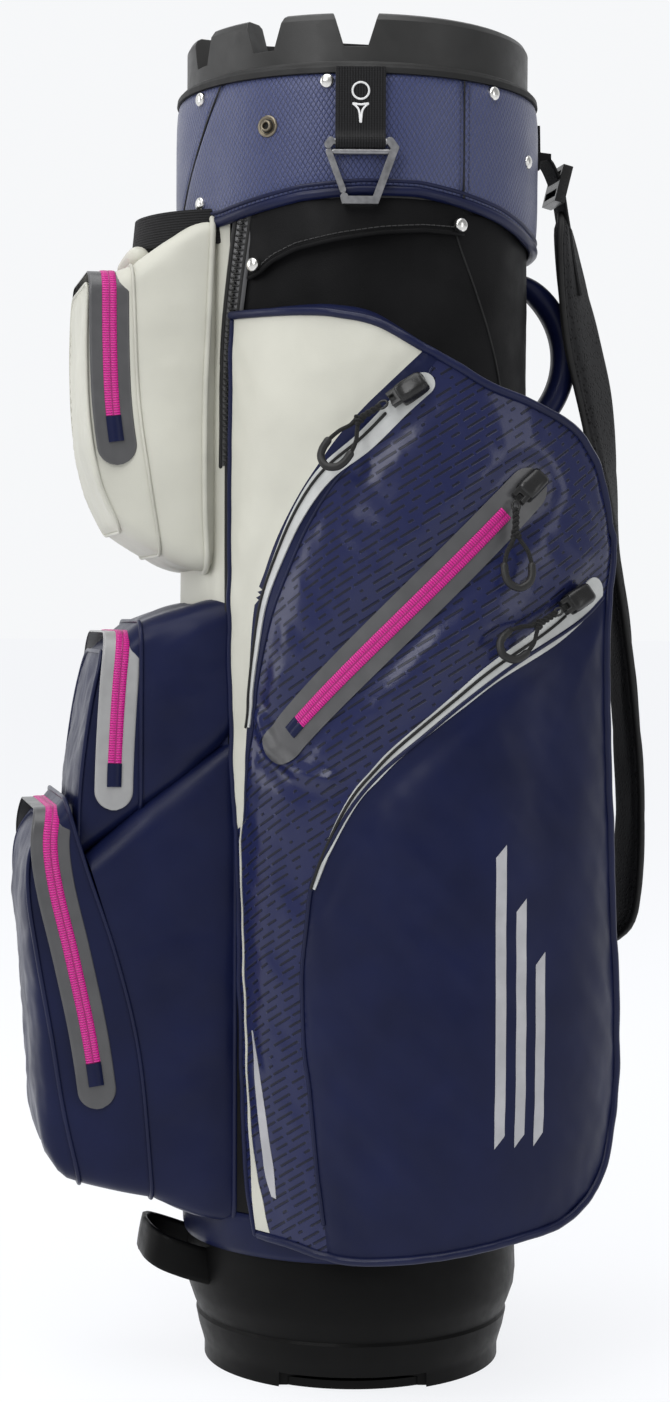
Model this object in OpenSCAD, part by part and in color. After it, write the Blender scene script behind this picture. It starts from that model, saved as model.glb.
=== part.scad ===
// Cart-style golf bag: a round barrel in a moulded base, a moulded 14-way top,
// stacked front pockets, curved side pockets, a padded sling strap and hanging hardware.
// Millimetres. +Z is up, the front pockets face -Y, the origin is under the centre of the base.

/* [Barrel] */
// Outer radius of the fabric-covered barrel
barrel_r = 115; // [113:0.5:117]
// Height of the barrel's top edge
barrel_top_z = 845; // [835:1:850]
// Thickness of the rolled plastic liner
liner_t = 2; // [1.5:0.5:2.5]

/* [Base] */
// Height of the moulded base
base_h = 86; // [80:1:86]
// Radius of the base where it meets the floor
base_foot_r = 100; // [96:1:102]
// Width of the carry recess in each side of the base
base_recess_w = 96; // [70:1:100]
// Height of that recess
base_recess_h = 9.5; // [5:0.5:10]

/* [Top] */
// Outer radius of the moulded top above the collar
rim_r = 114.6; // [112:0.2:116]
// Height of the top of the rim
rim_top_z = 882; // [876:1:886]
// Angle between neighbouring notches of the rim
notch_step = 31; // [28:1:32]
// Thickness of the walls between the club wells
well_wall_t = 2.5; // [2:0.5:3]

/* [Collar] */
// Outer radius of the padded collar
collar_r = 121.5; // [120:0.5:123]
// Height of the collar's lower edge
collar_low_z = 760; // [755:1:765]

/* [Pockets] */
// Wall thickness of the foam-backed pockets
pocket_t = 3; // [2.5:0.5:4]
// Radius of the side pocket's outer panel
side_r = 147; // [145:1:149]
// Centre of that panel's curve, across and along the bag
side_centre = [13, 43];

/* [Strap] */
// Width of the padded strap
strap_w = 54; // [45:1:56]
// Thickness of the strap's pad
strap_t = 11; // [8:1:12]

/* [Hidden] */

gap = 0.3;                       // clearance between neighbouring pieces
cover_in_r = 112.2;              // inside of the fabric cover
liner_out_r = cover_in_r - gap;
liner_in_r = liner_out_r - liner_t;
well_r = 96;                     // inside of the rim, which the club wells fill
row_y = 50;                      // rows of wells are this far from the centre line
inner_x = 48;                    // wells of the two middle rows divide at 0 and here
outer_x = 29;                    // wells of the end rows divide here
putter_y = 71;                   // centre of the putter well
putter_r = 23;                   // radius inside the putter well
putter_top_z = 897;              // top of the putter well's domed collar

tab_deg = 79;                    // direction of the hanger tab, the carabiner and one base recess
seam_deg = 21.15;                // where the side panel starts, seen from its centre
rear_deg = 132.2;                // where it ends, at the rear corner
steps = 24;                      // facets along the side panel's curve

// Side outline of the side pocket, as [y, z], clockwise from the top of the front seam
side_outline = [
    [-94, 694], [-58, 692], [-17, 683], [28, 659], [77, 637], [108, 618], [130, 590], [141, 546],
    [144, 480], [144, 165], [130, 133], [108, 117], [77, 109], [28, 103], [-17, 98], [-58, 104],
    [-94, 110]
];
// Side outlines of the front pockets, as [y, z]
upper_outline = [
    [-90, 750], [-117, 748], [-150, 738], [-172, 722], [-184, 712], [-188, 690], [-189, 610],
    [-181, 574], [-160, 546], [-130, 532], [-90, 529]
];
middle_outline = [
    [-90, 517], [-117, 512], [-150, 499], [-180, 484], [-189, 470], [-190, 440], [-190, 346],
    [-90, 434]
];
ball_outline = [
    [-90, 433.6], [-190, 345.6], [-190.4, 392], [-210, 381], [-224, 366], [-230, 330], [-229, 230],
    [-224, 165], [-210, 138], [-160, 131], [-90, 117]
];
// Half plans of the front pockets, as [x, y] from the barrel forwards
upper_plan = [[60, -90], [58, -150], [55, -178], [42, -190]];
middle_plan = [[66, -90], [60, -140], [54, -172], [42, -191]];
ball_plan = [[66, -90], [66, -205], [62, -222], [48, -231]];

// Front zips: width of the tape, and how far the lowest one leans forward
flank_tape_w = 26;
ball_zip_lean = atan(25 / 148);

// Zips of the side panel: [distance along the panel from its front seam, height], top to bottom
zip_points = [
    [[130, 638], [66, 575], [31, 508]],
    [[207, 579], [131, 501], [55, 425]],
    [[240, 510], [142, 429], [80, 345]]
];
tape_w = [20, 27, 18];           // width of each zip's surround
slider_rise = [4.4, 3.6, 5.8];   // height of each slider's underside over the panel at its ends

// Route of the strap's middle, as [y, z]
strap_route = [
    [150, 735], [160, 690], [171, 640], [181, 560], [190, 470], [196, 400], [197, 350], [193, 300],
    [182, 277]
];

function at(a, r) = [r * sin(a), -r * cos(a)];
function scaled(points, centre, k) =
    [for (p = points) centre + [(p.x - centre.x) * k.x, (p.y - centre.y) * k.y]];
function mirrored(points) = concat(points, [for (i = [len(points) - 1:-1:0]) [-points[i].x, points[i].y]]);
function side_deg(u) = seam_deg + u / side_r * 180 / PI;
function side_point(p, off = 0) = [
    side_centre.x + (side_r + off) * sin(side_deg(p.x)),
    side_centre.y - (side_r + off) * cos(side_deg(p.x)),
    p.y
];
function unit(v) = v / norm(v);
// Centre of the circle through three points
function circle_centre(a, b, c) =
    let (u = b - a, v = c - a, w = cross(u, v))
    a + (cross(w, u) * (v * v) + cross(v, w) * (u * u)) / (2 * (w * w));
function turned(v, k, a) = v * cos(a) + cross(k, v) * sin(a) + k * (k * v) * (1 - cos(a));
function angle_about(k, a, b) = atan2(cross(a, b) * k, a * b);
function segment_angle(a, b) = atan2(b.y - a.y, b.x - a.x);

// A ring about the bag's axis, between two directions measured from the front towards the right
module sector(r0, r1, z0, z1, a0 = 0, a1 = 360)
    rotate([0, 0, a0 - 90]) rotate_extrude(angle = a1 - a0, $fn = 180)
        translate([r0, z0]) square([r1 - r0, z1 - z0]);
module both() { children(); mirror([1, 0, 0]) children(); }
module along_x(w) rotate([90, 0, 90]) linear_extrude(w, center = true) children();
module outside_barrel(r, h = 1000) difference() {
    children();
    translate([0, 0, -1]) cylinder(r = r, h = h, $fn = 180);
}
module stadium(a, b, w) {
    translate(a) circle(d = w, $fn = 32);
    translate(b) circle(d = w, $fn = 32);
    translate(a) rotate(segment_angle(a, b)) translate([0, -w / 2]) square([norm(b - a), w]);
}

// Outline of a band of even width along a chain of points, with round ends
function chain_normal(points, i) =
    let (last = len(points) - 1, a = i == 0 ? undef : unit(points[i] - points[i - 1]),
        b = i == last ? undef : unit(points[i + 1] - points[i]),
        d = i == 0 ? b : i == last ? a : unit(a + b), k = i == 0 || i == last ? 1 : a * d)
    [-d.y, d.x] / k;
function round_end(centre, from_deg, r) =
    [for (t = [1:7]) centre + r * [cos(from_deg - t * 22.5), sin(from_deg - t * 22.5)]];
function band_outline(points, w) = let (last = len(points) - 1) concat(
    [for (i = [0:last]) points[i] + chain_normal(points, i) * w / 2],
    round_end(points[last], segment_angle(points[last - 1], points[last]) + 90, w / 2),
    [for (i = [last:-1:0]) points[i] - chain_normal(points, i) * w / 2],
    round_end(points[0], segment_angle(points[1], points[0]) + 90, w / 2)
);
module chain(points, w) polygon(band_outline(points, w));

// Base ------------------------------------------------------------------------------------------
module base_shell() color([0.06, 0.06, 0.065]) difference() {
    rotate_extrude($fn = 180) polygon([
        [0, 6], [0, 12], [92, 12], [101, 30], [104, 60], [106, 80], [106.6, 116], [liner_in_r - gap, 116],
        [liner_in_r - gap, base_h], [110, base_h], [111.4, 76], [112, 60], [111, 50], [107.5, 40],
        [105.5, 35], [104.6, 33], [105.8, 31], [104, 22], [101, 12], [base_foot_r, 8], [base_foot_r, 0],
        [94, 0], [94, 6]
    ]);
    for (a = [tab_deg, tab_deg + 180]) rotate([0, 0, a - 90])
        translate([84, -base_recess_w / 2, -1]) cube([28, base_recess_w, base_recess_h + 1]);
}
module base_sole() color([0.09, 0.09, 0.095]) difference() {
    translate([0, 0, 0]) cylinder(r = 93.6, h = 5.7, $fn = 180);
    for (a = [0:45:315]) rotate([0, 0, a]) translate([62, 0, -1]) cylinder(r = 9, h = 3, $fn = 36);
}
module base_floor_pad() color([0.12, 0.12, 0.13]) translate([0, 0, 12.3]) cylinder(r = 91, h = 7, $fn = 120);
module base_grab_bar() color([0.07, 0.07, 0.075]) outside_barrel(barrel_r - 0.2) difference() {
    translate([0, -112, 78]) linear_extrude(24) polygon(mirrored([[30, 8], [34, -8], [30, -28], [20, -34]]));
    translate([0, -112, 70]) linear_extrude(40) polygon(mirrored([[20, 9], [22, -10], [18, -22]]));
}

// Barrel ----------------------------------------------------------------------------------------
module barrel_liner() color([0.1, 0.1, 0.11]) sector(liner_in_r, liner_out_r, base_h + gap, barrel_top_z);
module barrel_cover() color([0.04, 0.04, 0.045]) sector(cover_in_r, barrel_r, 114.5, collar_low_z - gap);
module lower_band() color([0.08, 0.1, 0.25]) sector(cover_in_r, barrel_r - 0.5, base_h + gap, 114.2);

// Moulded top -----------------------------------------------------------------------------------
module rim_notch(a) rotate([0, 0, a]) translate([0, -rim_r - 4, 0]) rotate([90, 0, 0])
    translate([0, 0, -26]) linear_extrude(30)
        polygon([[-7.5, 860], [7.5, 860], [15, rim_top_z + 2], [-15, rim_top_z + 2]]);
module top_rim() color([0.13, 0.13, 0.135]) difference() {
    rotate_extrude($fn = 180) polygon([
        [well_r, 848], [105.5, 846], [106.5, 780],
        [liner_in_r - gap, 780], [liner_in_r - gap, barrel_top_z + gap],
        [cover_in_r, barrel_top_z + gap], [cover_in_r, collar_low_z + 4], [117.6, collar_low_z + 4],
        [117.6, 848], [rim_r, 850.5], [rim_r, rim_top_z - 5],
        [rim_r - 2, rim_top_z - 1.5], [rim_r - 5, rim_top_z],
        [well_r + 3, rim_top_z], [well_r, rim_top_z - 2]
    ]);
    for (s = [-1, 1]) for (i = [0:2]) rim_notch(s * notch_step * (i + 0.5));
}
// The plan of every wall between wells: [x0, y0, x1, y1]
half_t = well_wall_t / 2;
module slabs(t, z0, z1, r) {
    chords = [-row_y, 0, row_y];
    module slab(x0, x1, y0, y1) intersection() {
        translate([x0, y0, z0]) cube([x1 - x0, y1 - y0, z1 - z0]);
        cylinder(r = r, h = 1000, $fn = 120);
    }
    for (y = chords) slab(-r, r, y - t / 2, y + t / 2);
    for (s = [-1, 1]) for (x = [-inner_x, 0, inner_x])
        slab(x - t / 2, x + t / 2,
            s < 0 ? -row_y + t / 2 + gap : t / 2 + gap,
            s < 0 ? -t / 2 - gap : row_y - t / 2 - gap);
    for (s = [-1, 1]) slab(s * outer_x - t / 2, s * outer_x + t / 2, -r, -row_y - t / 2 - gap);
    for (s = [-1, 1]) slab(s * outer_x - t / 2, s * outer_x + t / 2, row_y + t / 2 + gap, r);
}
module well_walls() color([0.11, 0.11, 0.115]) slabs(well_wall_t, 800, 876, well_r - gap);
module divider_sheets() color([0.16, 0.16, 0.17]) slabs(1.5, 20, 799.6, 90);
module putter_collar() color([0.12, 0.12, 0.125]) intersection() {
    translate([0, putter_y, 850]) difference() {
        cylinder(r = putter_r + 3, h = 60, $fn = 96);
        translate([0, 0, -1]) cylinder(r = putter_r, h = 62, $fn = 96);
        translate([-40, -60, -1]) cube([80, 60 + row_y + half_t + gap - putter_y, 27.3]);
    }
    union() {
        translate([-outer_x + half_t + gap, row_y + half_t + gap, 845])
            cube([2 * (outer_x - half_t - gap), 46, 31]);
        translate([-60, putter_y - 6, putter_top_z - 90]) rotate([0, 90, 0])
            cylinder(r = 90, h = 120, $fn = 120);
    }
    cylinder(r = well_r - gap, h = 1000, $fn = 180);
}
module top_trim_strip() color([0.03, 0.03, 0.03]) rotate_extrude($fn = 180) polygon([
    [118, 842.3], [collar_r, 842.3], [121, 846], [118.5, 848.6], [118, 848.8]
]);

// Collar and its fittings -----------------------------------------------------------------------
module collar_band() color([0.16, 0.19, 0.38]) sector(118, collar_r, collar_low_z + 4, 842);
module collar_piping() color([0.07, 0.09, 0.22])
    sector(115.4, collar_r - 0.2, collar_low_z - 4, collar_low_z + 3.7);
rivet_places = [
    [21.4, 836], [69, 839], [124, 838], [21.5, 768.6], [-69, 839],
    [-124, 838], [-21.5, 768.6], [145, 800], [-145, 800],
];
module rivet(a, z, r, size = 9)
    rotate([0, 0, a]) translate([0, -r - gap, z]) rotate([90, 0, 0]) intersection() {
    cylinder(d = size, h = 3, $fn = 48);
    translate([0, 0, -5.5]) sphere(r = 7.6, $fn = 64);
}
module collar_rivets() color([0.8, 0.8, 0.8]) for (p = rivet_places)
    rivet(p[0], min(p[1], 837), collar_r);
module snap_stud() color([0.55, 0.45, 0.32])
    rotate([0, 0, 50.3]) translate([0, -collar_r - gap, 811]) rotate([90, 0, 0]) {
    difference() {
        cylinder(d = 12.5, h = 1.6, $fn = 64);
        translate([0, 0, 1]) cylinder(d = 8, h = 2, $fn = 48);
    }
    translate([0, 0, 1]) cylinder(d = 5, h = 3, $fn = 48);
}
module on_tab() rotate([0, 0, tab_deg]) translate([0, -collar_r, 0]) children();
bar_out = 4.2;                   // how far the carabiner's bar lies outside the collar
bar_z = 798.2;                   // height of that bar
bar_d = 3.4;                     // thickness of that bar
module hanger_tab() color([0.03, 0.03, 0.03]) on_tab() difference() {
    union() {
        translate([-16, -3.4, bar_z]) cube([32, 3.1, 843 - bar_z]);
        translate([-16, -bar_out, bar_z]) rotate([0, 90, 0]) cylinder(r = 3.9, h = 32, $fn = 48);
    }
    translate([-20, -bar_out, bar_z]) rotate([0, 90, 0]) cylinder(d = bar_d + 0.6, h = 40, $fn = 48);
}

// Grab handles ----------------------------------------------------------------------------------
// Side view of the flap, as [y, z], with an arched lower edge
flap_side = concat([[-110, 755.5], [-110, 726]],
    [for (t = [0:12]) let (y = -94 + 142 * t / 12) [y, 745.5 - pow((y - 24) / 27, 2)]], [[60, 743], [60, 755.5]]);
module side_flap() intersection() {
    sector(122.2, 125, 720, 770, 42, 113);
    translate([100, 0, 0]) along_x(200) polygon(flap_side);
}
module flap_foot(a, z0) sector(115.3, 123.6, z0, 755.2, a - 2.4, a + 2.4);
module side_flap_right() color([0.05, 0.05, 0.05]) {
    side_flap();
    flap_foot(44.5, 729);
    flap_foot(110.5, 746);
}
module side_flap_left() mirror([1, 0, 0]) side_flap_right();
module flap_rivets() color([0.8, 0.8, 0.8]) both() { rivet(44.5, 732, 125); rivet(110.5, 750, 125); }
module front_grab_handle() color([0.03, 0.03, 0.03]) outside_barrel(collar_r + gap) translate([0, -92.4, 0])
    sector(55.5, 58, 753, 775, -125, 125);
module rear_carry_handle() color([0.05, 0.06, 0.16]) outside_barrel(barrel_r + gap) translate([0, 88.2, 679])
    rotate([90, 0, 90]) rotate([0, 0, -66]) rotate_extrude(angle = 132, $fn = 120)
        translate([64.8 - 7, 0]) circle(r = 7, $fn = 32);

// Front pockets ---------------------------------------------------------------------------------
module pocket_block(outline, plan) intersection() {
    along_x(200) polygon(outline);
    linear_extrude(1000) polygon(mirrored(plan));
}
module pocket(outline, plan, middle) outside_barrel(barrel_r + 3.3) difference() {
    pocket_block(outline, plan);
    pocket_block(concat([[-80, middle.y - 20], [-80, middle.y + 20]], scaled(outline, middle, [0.95, 0.96])),
        concat([[plan[0].x - pocket_t, -80]], [for (p = plan) p + [-pocket_t, pocket_t]]));
}
module upper_pocket() color([0.8, 0.8, 0.73]) pocket(upper_outline, upper_plan, [-112, 640]);
module middle_pocket() color([0.07, 0.09, 0.24]) pocket(middle_outline, middle_plan, [-112, 440]);
module ball_pocket() color([0.07, 0.09, 0.24]) pocket(ball_outline, ball_plan, [-112, 260]);
module front_panel() color([0.78, 0.78, 0.72])
    sector(barrel_r + gap, barrel_r + 3, 114.5, 755.5, -32.3, 32.3);
// Tape of a pocket's zip on both flanks, between the centres of its round ends, as [y, z]
module flank_tapes(x, low, high) both() translate([x + gap, 0, 0]) rotate([90, 0, 90])
    linear_extrude(1.4) stadium(low, high, flank_tape_w);
module upper_pocket_zips() color([0.3, 0.3, 0.31]) flank_tapes(58.2, [-168, 608], [-168, 704]);
module middle_pocket_zips() color([0.5, 0.5, 0.5]) flank_tapes(60.2, [-167, 394], [-167, 470]);
module ball_pocket_zips() color([0.3, 0.3, 0.31]) flank_tapes(66.2, [-188, 196], [-213, 344]);

// Side pockets ----------------------------------------------------------------------------------
function side_plan(t) = concat(
    [for (i = [0:steps]) let (a = seam_deg + (rear_deg - seam_deg) * i / steps)
        side_centre + at(a, side_r - t)],
    [[45 + t, 108 - t * 0.6], [45 + t, 60], [60, -60]]
);
module side_block(t, outline) intersection() {
    along_x(500) polygon(outline);
    linear_extrude(1000) polygon(side_plan(t));
}
module side_pocket() outside_barrel(barrel_r + gap) difference() {
    side_block(0, side_outline);
    intersection() {
        side_block(pocket_t, scaled(side_outline, [30, 400], [0.965, 0.985]));
        translate([0, -88, 0]) cube([400, 400, 1000]);
    }
}
module side_pocket_right() color([0.07, 0.09, 0.24]) difference() {
    side_pocket();
    seam_gap();
}
// Clears the front panel where the side pocket meets it at the seam
module seam_gap() sector(100, barrel_r + 3.3, 90, 760, 0, 35);
module side_pocket_left() mirror([1, 0, 0]) side_pocket_right();
module panel_shell(r0, r1) translate([side_centre.x, side_centre.y, 0])
    sector(r0, r1, 200, 700, seam_deg, rear_deg);
// A band on the side panel through a zip's three points, cut square to the panel at its middle
module panel_band(i, w) {
    p = zip_points[i];
    mid_deg = side_deg((p[0].x + p[2].x) / 2);
    flat = [for (q = p) let (s = side_point(q) - [side_centre.x, side_centre.y, 0])
        [s.x * cos(mid_deg) + s.y * sin(mid_deg), s.z]];
    intersection() {
        panel_shell(side_r + gap, side_r + 1.5);
        translate([side_centre.x, side_centre.y, 0]) rotate([0, 0, mid_deg]) translate([0, -100, 0])
            rotate([90, 0, 0]) linear_extrude(60) chain(flat, w);
    }
}
module side_zip_tapes_right() color([0.35, 0.35, 0.36]) for (i = [0:2]) panel_band(i, tape_w[i]);
module side_zip_tapes_left() mirror([1, 0, 0]) side_zip_tapes_right();
module seam_zips() color([0.03, 0.03, 0.03])
    both() sector(barrel_r + gap, barrel_r + 3.4, 624, 755.5, 32.6, 34.7);

// Zip sliders and pulls -------------------------------------------------------------------------
// Local frame of side zip i: x along the zip downwards, z outwards. The slider turns about the
// centre of the circle through the zip's three points, and stands square to the panel half way.
module at_slider(i) {
    p = [for (q = zip_points[i]) side_point(q, slider_rise[i])];
    c = circle_centre(p[0], p[1], p[2]);
    k = unit(cross(p[0] - c, p[2] - c));
    x = cross(k, unit(p[0] - c));
    mid_normal = unit([p[1].x - side_centre.x, p[1].y - side_centre.y, 0]);
    leaning = turned(mid_normal, k, -angle_about(k, p[0] - c, p[1] - c));
    z = unit(leaning - x * (leaning * x));
    y = cross(z, x);
    multmatrix([[x.x, y.x, z.x, p[0].x], [x.y, y.y, z.y, p[0].y], [x.z, y.z, z.z, p[0].z], [0, 0, 0, 1]])
        children();
}
module slider_body() difference() {
    translate([-8, -5, 0]) cube([16, 10, 5]);
    translate([4, -1.9, 1.6]) cube([6, 3.8, 6]);
}
module pull_loop(turn) translate([9.6, 0, 2.2]) rotate([0, 0, turn]) {
    linear_extrude(3) difference() {
        union() { stadium([0, 0], [22, 0], 3); stadium([29, 0], [43, 0], 16); }
        stadium([29, 0], [43, 0], 9);
    }
}
pull_turn = [0, 42, 0];          // how far each pull hangs away from its zip
module zip_slider(i) color([0.05, 0.05, 0.05]) at_slider(i) slider_body();
module zip_pull(i) color([0.04, 0.04, 0.04]) at_slider(i) pull_loop(pull_turn[i]);
module front_slider(x, y, z, lean = 0) color([0.05, 0.05, 0.05]) translate([-x, y, z])
    rotate([lean, 0, 0]) rotate([0, -90, 0]) {
    translate([-7, -5, 0]) cube([14, 10, 5]);
    translate([-30, -2.5, 1]) cube([23, 5, 3]);
}

// Strap and carabiner ---------------------------------------------------------------------------
function normal_at(route, i) =
    let (a = route[max(i - 1, 0)], b = route[min(i + 1, len(route) - 1)], d = unit(b - a)) [-d.y, d.x];
function ribbon(route, t) = concat(
    [for (i = [0:len(route) - 1]) route[i] + normal_at(route, i) * t / 2],
    [for (i = [len(route) - 1:-1:0]) route[i] - normal_at(route, i) * t / 2]
);
module ribbon_x(route, t, w) along_x(w) polygon(ribbon(route, t));
module shoulder_strap() color([0.03, 0.03, 0.03]) {
    ribbon_x(strap_route, strap_t, strap_w);
    ribbon_x([[182.5, 277], [152, 262], [138, 257]], 3, 25);
    ribbon_x([[150, 735.5], [146, 765], [142.5, 783]], 3, 25);
}
module strap_buckle() color([0.05, 0.05, 0.05]) translate([0, 141, 797]) rotate([-14, 0, 0]) difference() {
    cube([32, 7, 26], center = true);
    for (s = [-1, 1]) translate([0, 0, s * 6.5]) cube([25, 9, 5], center = true);
}
module strap_anchor_top() color([0.03, 0.03, 0.03]) translate([0, collar_r + gap, 0]) along_x(26)
    polygon([[0, 806], [0, 836], [3, 836], [3.4, 818], [11, 817.4], [11, 813.6], [3.4, 812], [3, 806]]);
module strap_anchor_bottom() color([0.03, 0.03, 0.03]) translate([0, barrel_r + 0.4, 0]) along_x(26)
    polygon([[0, 238], [0, 272], [3, 272], [3.6, 258], [15.5, 257.2], [15.5, 254], [3.6, 252], [3, 238]]);

// The carabiner hangs in a plane square to its tab: x across, y up from its bar, z outwards
frame_t = 4.2;                   // thickness of the carabiner's flat frame
gate_top = [-19.8, -6.5];        // the gate's pin
gate_foot = [-10.9, -30.3];        // where the gate's nose closes
module in_tab_plane() on_tab() translate([0, -bar_out, bar_z]) rotate([90, 0, 0]) children();
module carabiner_body() color([0.35, 0.35, 0.36]) in_tab_plane() {
    translate([-18, 0, 0]) rotate([0, 90, 0]) cylinder(d = bar_d, h = 36, $fn = 32);
    translate([0, 0, -frame_t / 2 + 0.6]) linear_extrude(frame_t) {
        chain([[18.6, 0], [21.5, -4], [9.5, -36.5], [-9.5, -36.5], [-10, -34.6]], frame_t);
        chain([[-18.6, 0], [-20.2, -2.2]], frame_t);
    }
}
module carabiner_gate() color([0.5, 0.5, 0.5]) in_tab_plane() translate([0, 0, -frame_t / 2 + 1.1])
    linear_extrude(frame_t - 1) chain([gate_top, gate_foot], 3.2);

base_shell();
base_sole();
base_floor_pad();
base_grab_bar();
barrel_liner();
barrel_cover();
lower_band();
top_rim();
well_walls();
divider_sheets();
putter_collar();
top_trim_strip();
collar_band();
collar_piping();
collar_rivets();
snap_stud();
hanger_tab();
side_flap_right();
side_flap_left();
flap_rivets();
front_grab_handle();
rear_carry_handle();
front_panel();
upper_pocket();
middle_pocket();
ball_pocket();
upper_pocket_zips();
middle_pocket_zips();
ball_pocket_zips();
side_pocket_right();
side_pocket_left();
side_zip_tapes_right();
side_zip_tapes_left();
seam_zips();
strap_anchor_top();
strap_anchor_bottom();
shoulder_strap();
strap_buckle();
carabiner_body();
carabiner_gate();
zip_slider(0);  // zip_slider_right_1
zip_slider(1);  // zip_slider_right_2
zip_slider(2);  // zip_slider_right_3
zip_pull(0);  // zip_pull_right_1
zip_pull(1);  // zip_pull_right_2
zip_pull(2);  // zip_pull_right_3
mirror([1, 0, 0]) zip_slider(0);  // zip_slider_left_1
mirror([1, 0, 0]) zip_slider(1);  // zip_slider_left_2
mirror([1, 0, 0]) zip_slider(2);  // zip_slider_left_3
mirror([1, 0, 0]) zip_pull(0);  // zip_pull_left_1
mirror([1, 0, 0]) zip_pull(1);  // zip_pull_left_2
mirror([1, 0, 0]) zip_pull(2);  // zip_pull_left_3
front_slider(60.2, -168, 604);  // zip_slider_upper
front_slider(62.2, -167, 404);  // zip_slider_middle
front_slider(68.2, -189, 202, ball_zip_lean);  // zip_slider_ball
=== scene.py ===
"""Looks for the golf cart bag. Design values are in millimetres; meshes are made in metres."""

import math

import bpy
import numpy as np
from mathutils import Matrix, Vector, geometry, noise


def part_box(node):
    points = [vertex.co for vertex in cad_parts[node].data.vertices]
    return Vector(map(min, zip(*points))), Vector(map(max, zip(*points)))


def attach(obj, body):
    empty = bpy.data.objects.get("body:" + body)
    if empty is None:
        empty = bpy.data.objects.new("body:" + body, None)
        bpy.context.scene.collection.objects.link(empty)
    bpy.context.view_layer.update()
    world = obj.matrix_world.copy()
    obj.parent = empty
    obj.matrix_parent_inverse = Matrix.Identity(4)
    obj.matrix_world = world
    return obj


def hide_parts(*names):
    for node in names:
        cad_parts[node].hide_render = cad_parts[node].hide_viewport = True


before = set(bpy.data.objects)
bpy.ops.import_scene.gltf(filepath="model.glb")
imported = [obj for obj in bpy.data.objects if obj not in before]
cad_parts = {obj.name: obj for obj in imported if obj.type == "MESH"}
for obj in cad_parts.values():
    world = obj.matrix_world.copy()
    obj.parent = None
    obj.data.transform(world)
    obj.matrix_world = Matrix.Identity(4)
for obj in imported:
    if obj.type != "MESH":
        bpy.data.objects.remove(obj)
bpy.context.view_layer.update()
MM = 0.001

# ---------------------------------------------------------------- driving values, from the CAD
TUBE_R = 115.0
COLLAR_R = 121.5
COLLAR_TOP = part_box("collar_band")[1][2] / MM
PANEL_C = (13.0, 43.0)
PANEL_R = 147.0
SEAM_DEG = 21.15
REAR_SEAM_DEG = 112.3
FRONT_HALF_DEG = 33
FRONT_SPLIT_Z = 503
PAD_HALF_WIDTH = 27
PAD_ROUND = 26
# for each of a side pocket's three pulls: turn on its slider, bend of its cord, rise off the panel
PULLS = ((0.0, 26, 9), (42.0, 4, 0), (0.0, 6, 6))

# ---------------------------------------------------------------- small geometry helpers


def at(deg, r):
    """A point in plan, at an angle from the front towards the right."""
    a = math.radians(deg)
    return np.array([r * math.sin(a), -r * math.cos(a)])


def around(line, r):
    """Points round the barrel, from (angle, height) pairs and one radius."""
    return [(*at(a, r), z) for a, z in line]


def rays(line):
    """The barrel's outward direction at each (angle, height) pair."""
    return [(*at(a, 1.0), 0) for a, _ in line]


def unit(vectors):
    """Each row of vectors made one long."""
    return vectors / np.linalg.norm(vectors, axis=1, keepdims=True)


def curve(points, step):
    """A smooth curve through the points, resampled about every step."""
    p = [np.array(q, float) for q in points]
    out = []
    for i in range(len(p) - 1):
        a, b = p[i], p[i + 1]
        before = p[i - 1] if i > 0 else 2 * a - b
        after = p[i + 2] if i + 2 < len(p) else 2 * b - a
        count = max(1, round(np.linalg.norm(b - a) / step))
        for k in range(count):
            t = k / count
            square = (2 * before - 5 * a + 4 * b - after) * t * t
            cube = (3 * a - before - 3 * b + after) * t**3
            out.append(0.5 * (2 * a + (b - before) * t + square + cube))
    return out + [p[-1]]


def straight(points, step):
    """The points' polyline, resampled about every step, with its corners kept."""
    out = []
    for a, b in zip(points[:-1], points[1:]):
        a, b = np.array(a, float), np.array(b, float)
        count = max(1, round(np.linalg.norm(b - a) / step))
        out += [a + (b - a) * k / count for k in range(count)]
    return out + [np.array(points[-1], float)]


def distance(points, lines):
    """Each point's distance to the nearest of some polylines."""
    p = np.asarray(points, float)
    best = np.full(len(p), 1e9)
    for line in lines:
        q = np.asarray(line, float)
        a, d = q[:-1], q[1:] - q[:-1]
        length = np.maximum((d * d).sum(1), 1e-9)
        for s in range(0, len(p), 4000):
            w = p[s : s + 4000, None, :] - a[None]
            t = np.clip((w * d[None]).sum(2) / length[None], 0, 1)
            gap = np.linalg.norm(w - t[..., None] * d[None], axis=2).min(1)
            best[s : s + 4000] = np.minimum(best[s : s + 4000], gap)
    return best


def inside(points, outline):
    """Which points lie inside a closed outline."""
    p = np.asarray(points, float)
    q = np.asarray(outline, float)
    r = np.roll(q, -1, axis=0)
    hit = np.zeros(len(p), bool)
    for (x0, y0), (x1, y1) in zip(q, r):
        crosses = (y0 > p[:, 1]) != (y1 > p[:, 1])
        span = y1 - y0 if y1 != y0 else 1e-9
        hit ^= crosses & (p[:, 0] < (x1 - x0) * (p[:, 1] - y0) / span + x0)
    return hit


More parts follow.
